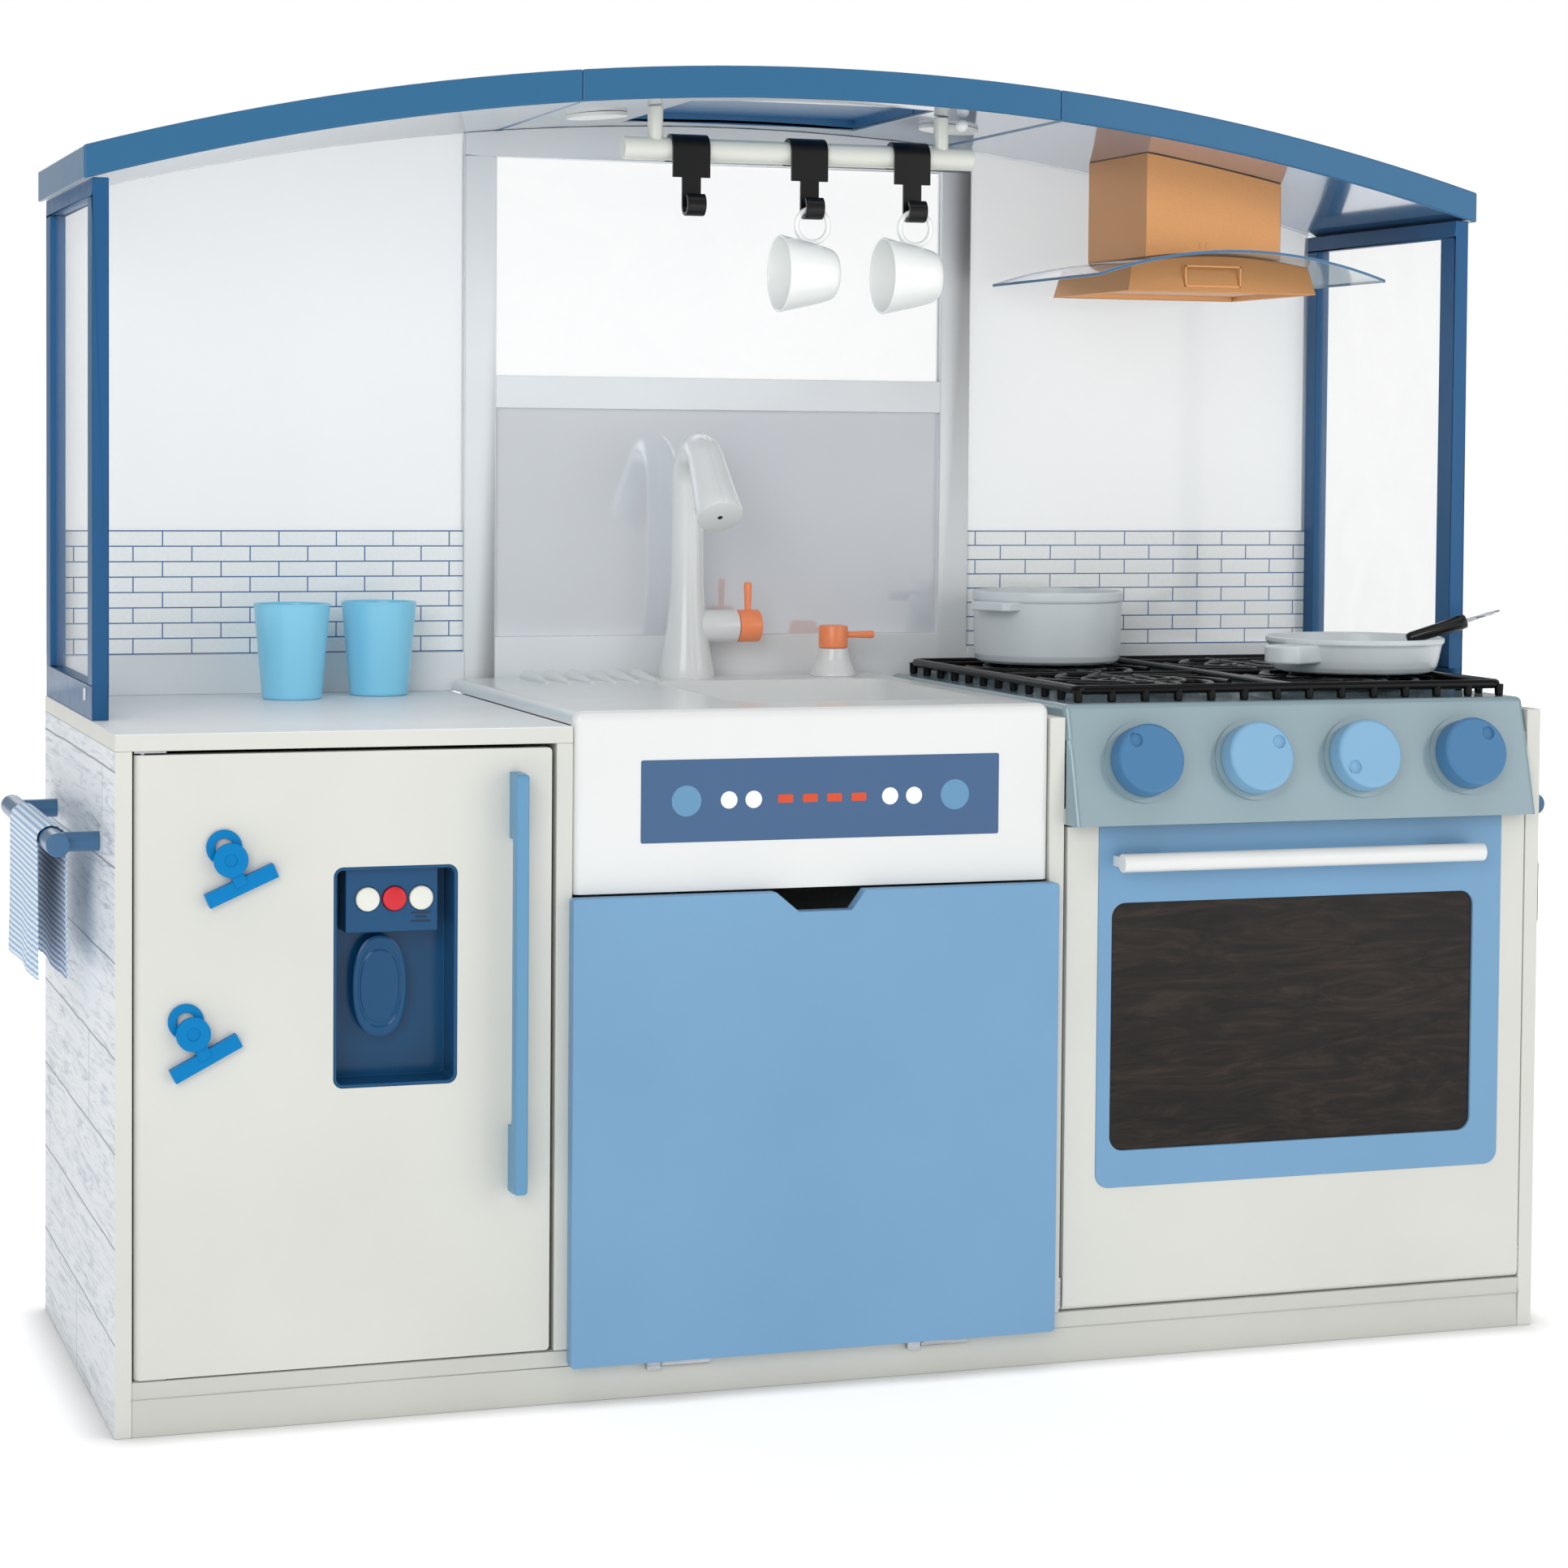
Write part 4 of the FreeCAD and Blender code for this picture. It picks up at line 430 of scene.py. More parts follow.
def eased(node, width=0.8, segments=2, look=None, sharp=30.0):
    """The node's own shape with every hard edge rounded over, as paint and moulding leave it."""
    bm = bmesh.new()
    bm.from_mesh(frame["nodes"][node].data)
    bmesh.ops.remove_doubles(bm, verts=bm.verts, dist=1e-6)
    bmesh.ops.dissolve_limit(bm, angle_limit=math.radians(0.2), verts=bm.verts, edges=bm.edges)
    hard = [e for e in bm.edges if len(e.link_faces) == 2 and e.calc_face_angle(0) > math.radians(sharp)]
    bmesh.ops.bevel(bm, geom=hard, offset=width * MM, segments=segments, profile=0.5,
                    affect="EDGES", clamp_overlap=True)
    mesh = to_mesh(bm, node + "_finish", 40.0)
    slot = NODE_SLOTS[node]
    thing = piece(node + "_finish", mesh, NODE_BODIES[node], slot, (node,), look)
    steady = thing.modifiers.new("even_normals", "WEIGHTED_NORMAL")
    steady.keep_sharp = True


def second_look(name, look, chosen):
    """Give the faces whose normal is chosen another look."""
    mesh = bpy.data.objects[name].data
    mesh.materials.append(look)
    for face in mesh.polygons:
        if chosen(face.normal):
            face.material_index = 1


def lathe(profile, steps=96, squeeze=(1.0, 1.0)):
    """A closed turned form about +Z from (radius, height) pairs in millimetres."""
    bm = bmesh.new()
    rows = []
    for radius, height in profile:
        if radius < 1e-6:
            rows.append([bm.verts.new((0, 0, height * MM))])
            continue
        rows.append([bm.verts.new((radius * squeeze[0] * MM * math.cos(2 * math.pi * i / steps),
                                   radius * squeeze[1] * MM * math.sin(2 * math.pi * i / steps),
                                   height * MM)) for i in range(steps)])
    for one, two in zip(rows, rows[1:]):
        for i in range(steps):
            j = (i + 1) % steps
            corners = [one[i % len(one)], one[j % len(one)], two[j % len(two)], two[i % len(two)]]
            unique = list(dict.fromkeys(corners))
            if len(unique) > 2:
                bm.faces.new(unique)
    return bm


def rounded(points, radius, steps=4):
    """A profile with each corner between its two ends turned into a small arc."""
    out = [points[0]]
    for before, here, after in zip(points, points[1:], points[2:]):
        a, b, c = Vector(before), Vector(here), Vector(after)
        reach = min(radius, (a - b).length * 0.45, (c - b).length * 0.45)
        start, end = b + (a - b).normalized() * reach, b + (c - b).normalized() * reach
        for k in range(steps + 1):
            t = k / steps
            out.append(tuple((1 - t) ** 2 * start + 2 * t * (1 - t) * b + t ** 2 * end))
    out.append(points[-1])
    return out


def sweep(bm, path, radii, steps=24, groove=0.0, groove_axis=None):
    """A round tube through points (in metres) with a radius at each, closed at both ends.

    A groove, if any, runs along the two sides that are square to its axis.
    """
    rings = []
    side = Vector((1, 0, 0))
    for k, (point, radius) in enumerate(zip(path, radii)):
        before, after = path[max(0, k - 1)], path[min(len(path) - 1, k + 1)]
        along = (after - before).normalized()
        if k == 0 and abs(along.dot(side)) > 0.9:
            side = Vector((0, 1, 0))
        side = (side - along * side.dot(along)).normalized()
        up = along.cross(side)
        ring = []
        for i in range(steps):
            angle = 2 * math.pi * i / steps
            direction = side * math.cos(angle) + up * math.sin(angle)
            reach = radius
            if groove and abs(direction.dot(groove_axis)) < 0.06:
                reach -= groove
            ring.append(bm.verts.new(point + direction * reach))
        rings.append(ring)
    for one, two in zip(rings, rings[1:]):
        for i in range(steps):
            j = (i + 1) % steps
            bm.faces.new((one[i], one[j], two[j], two[i]))
    bm.faces.new(list(reversed(rings[0])))
    bm.faces.new(rings[-1])


def slab(bm, outline, low, high, turn=Matrix.Identity(4)):
    """A flat plate from an outline in its own plane, in millimetres, between two depths."""
    top = [bm.verts.new(turn @ (Vector((x, y, high)) * MM)) for x, y in outline]
    under = [bm.verts.new(turn @ (Vector((x, y, low)) * MM)) for x, y in outline]
    count = len(outline)
    bm.faces.new(top)
    bm.faces.new(list(reversed(under)))
    for i in range(count):
        j = (i + 1) % count
        bm.faces.new((under[i], under[j], top[j], top[i]))


FULL_TURN = [7.5 * i for i in range(48)]


def arc_points(x, y, radius, degrees):
    """Points of a circle, one at each of the given angles."""
    return [(x + radius * math.cos(math.radians(a)), y + radius * math.sin(math.radians(a))) for a in degrees]


def box_outline(x0, y0, x1, y1, radius=0.0, steps=5):
    """A rectangle between two corners, in millimetres, its corners rounded by a radius."""
    if radius <= 0:
        return [(x0, y0), (x1, y0), (x1, y1), (x0, y1)]
    out = []
    for x, y, start in ((x1 - radius, y0 + radius, -90), (x1 - radius, y1 - radius, 0),
                        (x0 + radius, y1 - radius, 90), (x0 + radius, y0 + radius, 180)):
        out += arc_points(x, y, radius, [start + 90 * k / steps for k in range(steps + 1)])
    return out


def front_plate(name, shapes, depth, thickness, body, slot, look=None):
    """Thin flat shapes, drawn in x and z, on a front face at a given depth, standing out of it."""
    turn = Matrix.Translation(at(0, depth, 0)) @ Matrix.Rotation(math.radians(90), 4, "X")
    bm = bmesh.new()
    for shape in shapes:
        slab(bm, shape, 0, thickness, turn)
    piece(name, to_mesh(bm, name), body, slot, look=look)


# ---------------------------------------------------------------- boards, doors and frames

def make_boards():
    """The boards, doors, frames, panes and fittings that keep their own shape, with softened edges."""
    for node in ("right_side_panel", "left_side_panel", "inner_boards", "base_boards", "fridge_worktop",
                 "back_boards", "fridge_door", "oven_door", "oven_inset", "dishwasher_door",
                 "centre_frame", "side_window_frames"):
        own = {"base_boards": plinth_painted_shade, "back_boards": SLOT_LOOKS["white_board"]}.get(node)
        eased(node, 0.7, look=own)
    second_look("left_side_panel_finish", SLOT_LOOKS["cream_board"], lambda normal: normal.x > -0.5)
    second_look("fridge_worktop_finish", SLOT_LOOKS["cream_board"], lambda normal: normal.z < 0.3)
    for node, width in (("fridge_handle", 0.6), ("oven_handle", 1.5), ("oven_window", 0.3),
                        ("roof_left", 1.4), ("roof_centre", 1.4), ("roof_right", 1.4),
                        ("roof_soffits", 0.4), ("side_rails", 0.5), ("side_plate", 0.8),
                        ("hinge_plates", 0.2), ("dishwasher_hinge_leaves", 0.2),
                        ("mirror_pane", 0.2), ("clear_panes", 0.2), ("back_panes", 0.2)):
        eased(node, width)
    for nodes, width, segments in ((("clip_back_jaws", "clip_1_front_jaw", "clip_2_front_jaw"), 0.6, 3),
                                   (("stove_top", "knob_1", "knob_2", "knob_3", "knob_4"), 0.9, 3),
                                   (("utensil_rail",), 1.2, 3), (("hook_1", "hook_2", "hook_3"), 1.1, 4)):
        for node in nodes:
            eased(node, width, segments)


SCREW_X, SCREW_Y, SCREW_Z = 554, 159.5, 504.4


def make_screw_caps():
    """A white cover over the frame screw on the outer face of each side window's sill."""
    for side, sign in (("left", -1), ("right", 1)):
        turn = Matrix.Translation(at(sign * SCREW_X, SCREW_Y, SCREW_Z)) \
            @ Matrix.Rotation(math.radians(sign * 90), 4, "Y")
        bm = bmesh.new()
        slab(bm, box_outline(-4.5, -2.6, 4.5, 2.6, 1.0), 0, 0.9, turn)
        piece("screw_caps_" + side, to_mesh(bm, "screw_caps"), "carcass", "white_plastic")


# ---------------------------------------------------------------- fridge door

def make_dispenser():
    """The water and ice recess, its three round buttons, the oval paddle, and three raised marks."""
    cap_high, squareness = 9.6, 2.3
    eased("dispenser_shell", 0.8, 3)
    for node in ("water_button", "lock_button", "ice_button"):
        middle = centre_of(node)
        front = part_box(node)[0].y
        bm = lathe(rounded([(0, 0), (8.5, 0), (8.5, 8.6), (6.5, 9.2), (0, cap_high)], 1.2), 48)
        mesh = to_mesh(bm, node + "_cap")
        mesh.transform(Matrix.Translation((middle.x, front + cap_high * MM, middle.z))
                       @ Matrix.Rotation(math.radians(90), 4, "X"))
        piece(node + "_cap", mesh, NODE_BODIES[node], NODE_SLOTS[node], (node,))
    low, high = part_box("dispenser_paddle")
    half_wide, half_tall = (high.x - low.x) / 2 / MM, (high.z - low.z) / 2 / MM
    middle = (low + high) / 2
    profile = rounded([(0, 0.0), (1.0, 0.0), (1.0, 3.4), (0.95, 4.0), (0.82, 3.9), (0.79, 2.9), (0.73, 2.9),
                       (0.70, 3.8), (0.0, 4.0)], 0.02, 3)
    bm = lathe(profile, 96, (half_wide, half_tall))
    for vertex in bm.verts:
        across, along = vertex.co.x / (half_wide * MM), vertex.co.y / (half_tall * MM)
        reach = math.hypot(across, along)
        if reach > 1e-6:
            squarer = reach / (abs(across) ** squareness + abs(along) ** squareness) ** (1 / squareness)
            vertex.co.x *= squarer
            vertex.co.y *= squarer
    mesh = to_mesh(bm, "dispenser_paddle_plate", 50)
    mesh.transform(Matrix.Translation((middle.x, high.y, middle.z)) @ Matrix.Rotation(math.radians(90), 4, "X"))
    piece("dispenser_paddle_plate", mesh, NODE_BODIES["dispenser_paddle"], "navy_plastic",
          ("dispenser_paddle",))
    # raised bars on the block under the buttons, a generic mark, coloured dark navy as painted shade of the
    # moulded relief
    marks = [box_outline(-346, z, -332, z + 1.1, 0.4, 2) for z in (356.4, 350.4)]
    marks.append(box_outline(-343, 353.4, -335, 354.5, 0.4, 2))
    front_plate("dispenser_marks", marks, 8.0, 0.5, "fridge_door", "navy_plastic", mark_painted_shade)


# ---------------------------------------------------------------- sink, faucet and tap

def make_sink():
    """The basin, and the sticker on its front with two sizes of dots and a row of dashes."""
    eased("sink_basin", 1.6, 4)
    front, sticker_thick = 0.0, 0.25
    front_plate("control_sticker", [box_outline(-180, 402, 97, 462, 1.5)], front, sticker_thick,
                "carcass", "white_plastic", sticker_navy)
    middle, level, depth = -41.9, 432, front - sticker_thick
    for name, offsets, radius, look in (("sticker_large_dots", (-103.9, 103.9), 11.2, sticker_sky),
                                        ("sticker_small_dots", (-71.6, -52.8, 52.8, 71.6), 6.3,
                                         sticker_white)):
        shapes = [arc_points(middle + offset, level, radius, FULL_TURN) for offset in offsets]
        front_plate(name, shapes, depth, 0.15, "carcass", "white_plastic", look)
    dashes = [box_outline(middle + x - 5.75, level - 3, middle + x + 5.75, level + 3, 0.8, 2)
              for x in (-28.4, -9.4, 9.4, 28.4)]
    front_plate("sticker_dashes", dashes, depth, 0.15, "carcass", "white_plastic", sticker_red)


FAUCET_X, FAUCET_Y, DECK = -40.0, 346.0, 498.0
FAUCET_ARCH, FAUCET_TURN, FAUCET_NECK = 30.0, 140.0, 654.8
BRANCH_LEVEL, SPINDLE = 540.0, 5.0


def make_faucet():
    """The white casting with its seam, the spout's hole, and the orange lever on its side branch."""
    path, radii = [], []
    for z, radius in ((DECK, 23.0), (DECK + 1.5, 23.4), (DECK + 12, 21.4), (DECK + 26, 18.9), (DECK + 42, 16.6),
                      (DECK + 60, 14.6), (DECK + 82, 13.3), (620, 13.0), (640, 13.0), (FAUCET_NECK, 13.1)):
        path.append(at(FAUCET_X, FAUCET_Y, z))
        radii.append(radius * MM)
    for k in range(1, 29):
        angle = math.radians(FAUCET_TURN * k / 28)
        path.append(at(FAUCET_X, FAUCET_Y - FAUCET_ARCH + FAUCET_ARCH * math.cos(angle),
                       FAUCET_NECK + FAUCET_ARCH * math.sin(angle)))
        radii.append((13.1 + 1.6 * k / 28) * MM)
    last = path[-1]
    heading = Vector((0, -math.sin(math.radians(FAUCET_TURN)), math.cos(math.radians(FAUCET_TURN))))
    for reach, radius in ((10, 15.4), (22, 16.3), (34, 17.3), (46, 18.4), (53.5, 18.9), (55.4, 18.5),
                          (56, 17.4)):
        path.append(last + heading * reach * MM)
        radii.append(radius * MM)
    bm = bmesh.new()
    sweep(bm, path, radii, 120, 0.5 * MM, Vector((1, 0, 0)))
    branch = [at(x, FAUCET_Y, BRANCH_LEVEL) for x in (FAUCET_X, -24, 1.5, 2.6, 3.0)]
    sweep(bm, branch, [r * MM for r in (13.2, 13.5, 13.5, 13.1, 12.2)], 64)
    piece("faucet_casting", to_mesh(bm, "faucet_casting", 40), "carcass", "white_plastic", ("faucet_body",))

    bm = bmesh.new()
    nozzle = path[-1] + heading * 0.1 * MM
    sweep(bm, [nozzle - heading * 2 * MM, nozzle], [2.1 * MM] * 2, 24)
    piece("spout_hole", to_mesh(bm, "spout_hole"), "carcass", "black_plastic", look=SLOT_LOOKS["turner_black"])

    bm = bmesh.new()
    cap = [at(x, FAUCET_Y, BRANCH_LEVEL) for x in (3.4, 4.0, 4.8, 21.0, 22.0, 22.4)]
    sweep(bm, cap, [r * MM for r in (12.6, 13.3, 13.5, 13.5, 13.0, 12.2)], 64)
    stick = [at(12.9, FAUCET_Y, z) for z in (548, 553, 560, 572, 575, 576)]
    sweep(bm, stick, [r * MM for r in (2.6, 2.6, 2.8, 3.3, 3.1, 2.2)], 24)
    sweep(bm, [at(x, FAUCET_Y, BRANCH_LEVEL) for x in (-9, 4)], [SPINDLE * MM] * 2, 24)
    piece("faucet_lever_cap", to_mesh(bm, "faucet_lever_cap", 40), "faucet_lever", "orange_plastic",
          ("faucet_lever",))


def make_tap():
    """A white cone with an orange lever cap, beside the faucet."""
    tap = centre_of("tap_base")
    lever_level = 532
    base = lathe(rounded([(0, 0), (19.4, 0), (19.1, 2.0), (16.9, 7.5), (14.4, 13.0), (12.9, 18.5), (12.5, 23.0),
                          (5.06, 23.0), (5.06, 10), (0, 10)], 0.8), 72)
    mesh = to_mesh(base, "tap_cone")
    mesh.transform(Matrix.Translation((tap.x, tap.y, DECK * MM)))
    piece("tap_cone", mesh, "carcass", "white_plastic", ("tap_base",))
    bm = bmesh.new()
    rise = [(521.4, 11.6), (522.0, 12.1), (523, 12.2), (538.4, 12.2), (539.6, 11.7), (540, 10.8)]
    sweep(bm, [Vector((tap.x, tap.y, z * MM)) for z, _ in rise], [r * MM for _, r in rise], 64)
    reach = [(11, 2.8), (14, 2.6), (20, 2.7), (33, 3.3), (35.4, 3.1), (36, 2.2)]
    sweep(bm, [Vector((tap.x + x * MM, tap.y, lever_level * MM)) for x, _ in reach],
          [r * MM for _, r in reach], 24)
    sweep(bm, [Vector((tap.x, tap.y, z * MM)) for z in (509, 522)], [SPINDLE * MM] * 2, 24)
    piece("tap_lever_cap", to_mesh(bm, "tap_lever_cap", 40), "tap_lever", "orange_plastic", ("tap_lever",))


# ---------------------------------------------------------------- stove

def bar_curve(name, lines, thickness, body, slot, replaced=()):
    """Round bars along open or closed lines of points, as one curve piece."""
    curve = bpy.data.curves.new(name, "CURVE")
    curve.dimensions = "3D"
    curve.bevel_depth = thickness / 2 * MM
    curve.bevel_resolution = 3
    curve.use_fill_caps = True
    for points, closed in lines:
        spline = curve.splines.new("POLY")
        spline.points.add(len(points) - 1)
        for target, point in zip(spline.points, points):
            target.co = (*point, 1)
        spline.use_cyclic_u = closed
        spline.use_smooth = True
    piece(name, curve, body, slot, replaced)


def make_grate():
    """The cooktop grate: a rim on short legs, cross bars, and four burners of rings and curled arms."""
    low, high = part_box("cooktop_grate")
    bar, burner_bar, hub, ring, arm_long, curl = 7.4, 5.0, 17, 40, 58, 0.75
    level = high.z - bar / 2 * MM
    x0, x1 = low.x + bar / 2 * MM, high.x - bar / 2 * MM
    y0, y1 = low.y + bar / 2 * MM, high.y - bar / 2 * MM

    def across(share):
        return x0 + (x1 - x0) * share

    def deep(share):
        return y0 + (y1 - y0) * share

    def line(points, z, closed=False):
        return [Vector((x, y, z)) for x, y in points], closed

    thick = [line(box_outline(x0, y0, x1, y1, 8 * MM, 6), level, True),
             line([(across(0.5), y0), (across(0.5), y1)], level)]
    bar_curve("grate_rim", thick, bar, "carcass", "grate_black", ("cooktop_grate",))

    lower = level - 0.6 * MM
    thin = [line([(x0, deep(share)), (x1, deep(share))], lower) for share in (0.07, 0.5, 0.93)]
    thin += [line([(across(share), y0), (across(share), y1)], lower) for share in (0.25, 0.75)]
    for bx, by in [(across(i), deep(j)) for i in (0.25, 0.75) for j in (0.28, 0.72)]:
        thin += [line(arc_points(bx, by, radius * MM, FULL_TURN), lower, True) for radius in (hub, ring)]
        for arm in range(8):
            points = []
            for share in [k / 12 for k in range(13)]:
                angle = math.radians(arm * 45 + 22.5) + curl * math.sin(share * math.pi)
                reach = (hub + arm_long * share) * MM
                x, y = bx + reach * math.cos(angle), by + reach * math.sin(angle)
                if x0 < x < x1 and y0 < y < y1:
                    points.append((x, y))
            thin.append(line(points, lower))
    bar_curve("grate_burner_bars", thin, burner_bar, "carcass", "grate_black")

    legs = bmesh.new()
    spots = [(across(i / 13), y) for i in range(14) for y in (y0, y1)]
    spots += [(x, deep(i / 11)) for i in range(1, 11) for x in (x0, x1)]
    for x, y in spots:
        sweep(legs, [Vector((x, y, z)) for z in (low.z, low.z + 0.8 * MM, level - 2 * MM, level)],
              [r * MM for r in (2.6, 3.3, 3.6, 3.6)], 16)
    piece("grate_legs", to_mesh(legs, "grate_legs"), "carcass", "grate_black")


# ---------------------------------------------------------------- roof, hood and rail

def make_roof_fittings():
    """The lamps, and the recess in the roof's underside with its ceiling, walls and pale front band."""
    eased("roof_lamps", 0.5, 3)
    bm = bmesh.new()
    ceiling, foot, origin = 959, 951.5, Matrix.Translation(at(0, 0, 0))
    slab(bm, box_outline(-101, 149, 101, 341), ceiling, ceiling + 1.5, origin)
    for wall in ((-101, 149, -100, 341), (100, 149, 101, 341), (-101, 340, 101, 341), (99, 200, 100, 201)):
        slab(bm, box_outline(*wall), foot, ceiling, origin)
    # the well's blue is lighter than the roof's: painted light on the recess walls and ceiling
    piece("roof_well", to_mesh(bm, "roof_well"), "carcass", "roof_blue",
          look=moulded("well_skin", "3A709E", 0.3, 0.1))
    bm = bmesh.new()
    slab(bm, box_outline(-100, 148.6, 100, 150.0), foot, ceiling, origin)
    piece("well_front_band", to_mesh(bm, "well_front_band"), "carcass", "lamp_white")


def make_hood():
    eased("range_hood", 0.8, 3)
    eased("hood_visor", 0.3, 1)
    second_look("hood_visor_finish", visor_edge, lambda normal: abs(normal.z) < 0.5)
    # raised border and two short ribs on the canopy's leaning front
    frame_bars = [box_outline(332, 820.5, 382, 821.8), box_outline(332, 836.6, 382, 837.9),
                  box_outline(332, 820.5, 333.3, 837.9), box_outline(380.7, 820.5, 382, 837.9)]
    front_plate("hood_border", frame_bars, 187.9, 0.4, "carcass", "copper_plastic")
    ribs = [box_outline(352.5, 852, 353.5, 858), box_outline(358.5, 852, 359.5, 858)]
    front_plate("flue_ribs", ribs, 205.0, 0.4, "carcass", "copper_plastic")


def make_mugs():
    """White mugs on their sides, with a ring handle that stands up to the hook's curl."""
    mouth, ring, tube = 30.0, 13.0, 2.2
    outer = [(0, 0), (13.0, 0), (17.0, 0.9), (19.7, 3.6), (21.4, 8.5), (24.2, 19.0), (27.6, 34.0),
             (30.0, 45.4), (29.5, 46.0), (28.4, 46.0), (27.9, 45.0), (25.6, 34.0), (22.2, 19.0), (19.4, 8.5),
             (17.4, 5.0), (14.0, 3.2), (0, 2.8)]
    for name, hook in (("mug_1", "hook_2"), ("mug_2", "hook_3")):
        low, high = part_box(name)
        axis_z = low.z + mouth * MM
        middle_y = (low.y + high.y) / 2
        bm = lathe(rounded(outer, 1.6, 4), 96)
        turn = Matrix.Translation((high.x, middle_y, axis_z)) @ Matrix.Rotation(math.radians(-90), 4, "Y")
        for vertex in bm.verts:
            vertex.co = turn @ vertex.co
        hook_x = centre_of(hook).x
        ring_z = high.z - (ring + tube) * MM
        path = [Vector((x, middle_y, z))
                for x, z in arc_points(hook_x, ring_z, ring * MM, range(-90, 271, 10))]
        sweep(bm, path, [tube * MM] * len(path), 20)
        piece(name + "_body", to_mesh(bm, name + "_body", 40), name, "mug_white", (name,))


# ---------------------------------------------------------------- loose ware

def make_cups():
    outer = [(0, 1.2), (18.0, 1.2), (19.0, 0), (21.6, 0), (23.0, 1.0), (23.4, 3.0), (29.7, 73.2), (30.0, 74.4),
             (29.4, 75.0), (28.6, 74.6), (28.2, 73.0), (22.0, 5.0), (20.0, 3.6), (0, 3.2)]
    for node in ("cup_1", "cup_2"):
        low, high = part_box(node)
        mesh = to_mesh(lathe(rounded(outer, 0.7, 3), 96), node + "_body")
        mesh.transform(Matrix.Translation(((low.x + high.x) / 2, (low.y + high.y) / 2, low.z)))
        piece(node + "_body", mesh, node, "cup_blue", (node,))


POT_SPOT, POT_TURN = (262, 300), 26
PAN_SPOT, PAN_TURN = (465, 140), 205
TURNER_SPOT, TURNER_YAW, TURNER_LEAN = (501.7, 120, 536.3), -22, -18
TAB_CORNER_X, TAB_CORNER_Y, TAB_ROUND, TAB_ROOT = 69, 14, 7, 60.7


def rounded_edges(thing, width, angle):
    """Round over the edges sharper than an angle, by a width in millimetres."""
    soft = thing.modifiers.new("soft_edges", "BEVEL")
    soft.width, soft.segments, soft.limit_method, soft.angle_limit = width * MM, 3, "ANGLE", math.radians(angle)


def make_pot():
    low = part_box("pot")[0]
    middle = at(*POT_SPOT, 0)
    outer = [(0, 0), (55.0, 0), (59.4, 2.2), (61.2, 7.0), (61.6, 51.0), (62.4, 51.6), (63.0, 53.0),
             (63.0, 58.6), (62.2, 60.0), (61.0, 60.0), (60.4, 58.6), (59.9, 50.0), (59.5, 10.0), (56.0, 5.0),
             (0, 5.0)]
    bm = lathe(rounded(outer, 0.9, 4), 128)
    tab = arc_points(TAB_CORNER_X, -TAB_CORNER_Y, TAB_ROUND, range(-90, 1, 15))
    tab += arc_points(TAB_CORNER_X, TAB_CORNER_Y, TAB_ROUND, range(0, 91, 15))
    tab += arc_points(0, 0, TAB_ROOT, range(20, -21, -5))
    for sign in (-1, 1):
        slab(bm, [(sign * x, sign * y) for x, y in tab], 44.5, 51.8)
    mesh = to_mesh(bm, "pot_body", 40)
    mesh.transform(Matrix.Translation((middle.x, middle.y, low.z))
                   @ Matrix.Rotation(math.radians(POT_TURN), 4, "Z"))
    pot = piece("pot_body", mesh, "pot", "pan_grey", ("pot",))
    rounded_edges(pot, 1.4, 50)


def make_pan():
    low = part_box("pan")[0]
    middle = at(*PAN_SPOT, 0)
    outer = [(0, 0), (60.0, 0), (63.6, 1.2), (66.0, 4.6), (67.6, 10.0), (69.8, 21.5), (70.8, 23.0),
             (72.0, 24.0), (72.0, 27.4), (71.2, 28.0), (70.2, 28.0), (69.4, 27.0), (68.0, 20.0), (65.6, 9.0),
             (62.0, 5.0), (0, 5.0)]
    bm = lathe(rounded(outer, 0.9, 4), 128)
    grip = [(63.4, -17), (94, -17), (101, -12), (104, -5), (104, 5), (101, 12), (94, 17), (63.4, 17)]
    slab(bm, grip, 9, 23.5)
    mesh = to_mesh(bm, "pan_body", 40)
    mesh.transform(Matrix.Translation((middle.x, middle.y, low.z))
                   @ Matrix.Rotation(math.radians(PAN_TURN), 4, "Z"))
    pan = piece("pan_body", mesh, "pan", "pan_grey", ("pan",))
    rounded_edges(pan, 2.0, 35)


def make_turner():
    """Black grip in the pan and a bright oval head beyond the rim, along the node's own lean."""
    turn = Matrix.Translation(at(*TURNER_SPOT)) @ Matrix.Rotation(math.radians(TURNER_YAW), 4, "Z") \
        @ Matrix.Rotation(math.radians(TURNER_LEAN), 4, "Y")
    head_middle, wire = 68, 0.8

    def along(*stations):
        return [turn @ (Vector((x, 0, 0)) * MM) for x in stations]

    bm = bmesh.new()
    sweep(bm, along(0, 1, 4, 26, 44, 49, 50), [r * MM for r in (3.0, 4.4, 5.0, 5.3, 6.0, 5.6, 4.4)], 32)
    piece("turner_grip", to_mesh(bm, "turner_grip", 50), "turner", "turner_black", ("turner",))
    bm = bmesh.new()
    sweep(bm, along(48, 54, 60), [1.7 * MM, 1.6 * MM, 1.5 * MM], 16)
    for length, half in ((9.2, 7.2), (6.6, 4.4)):
        oval = [(head_middle + length * math.cos(a * math.pi / 24), half * math.sin(a * math.pi / 24))
                for a in range(49)]
        sweep(bm, [turn @ (Vector((x, y, 0)) * MM) for x, y in oval], [wire * MM] * len(oval), 10)
    sweep(bm, along(59, 77), [wire * MM] * 2, 10)
    piece("turner_blade", to_mesh(bm, "turner_blade", 60), "turner", "hinge_steel", look=bright_steel)


# ---------------------------------------------------------------- towel

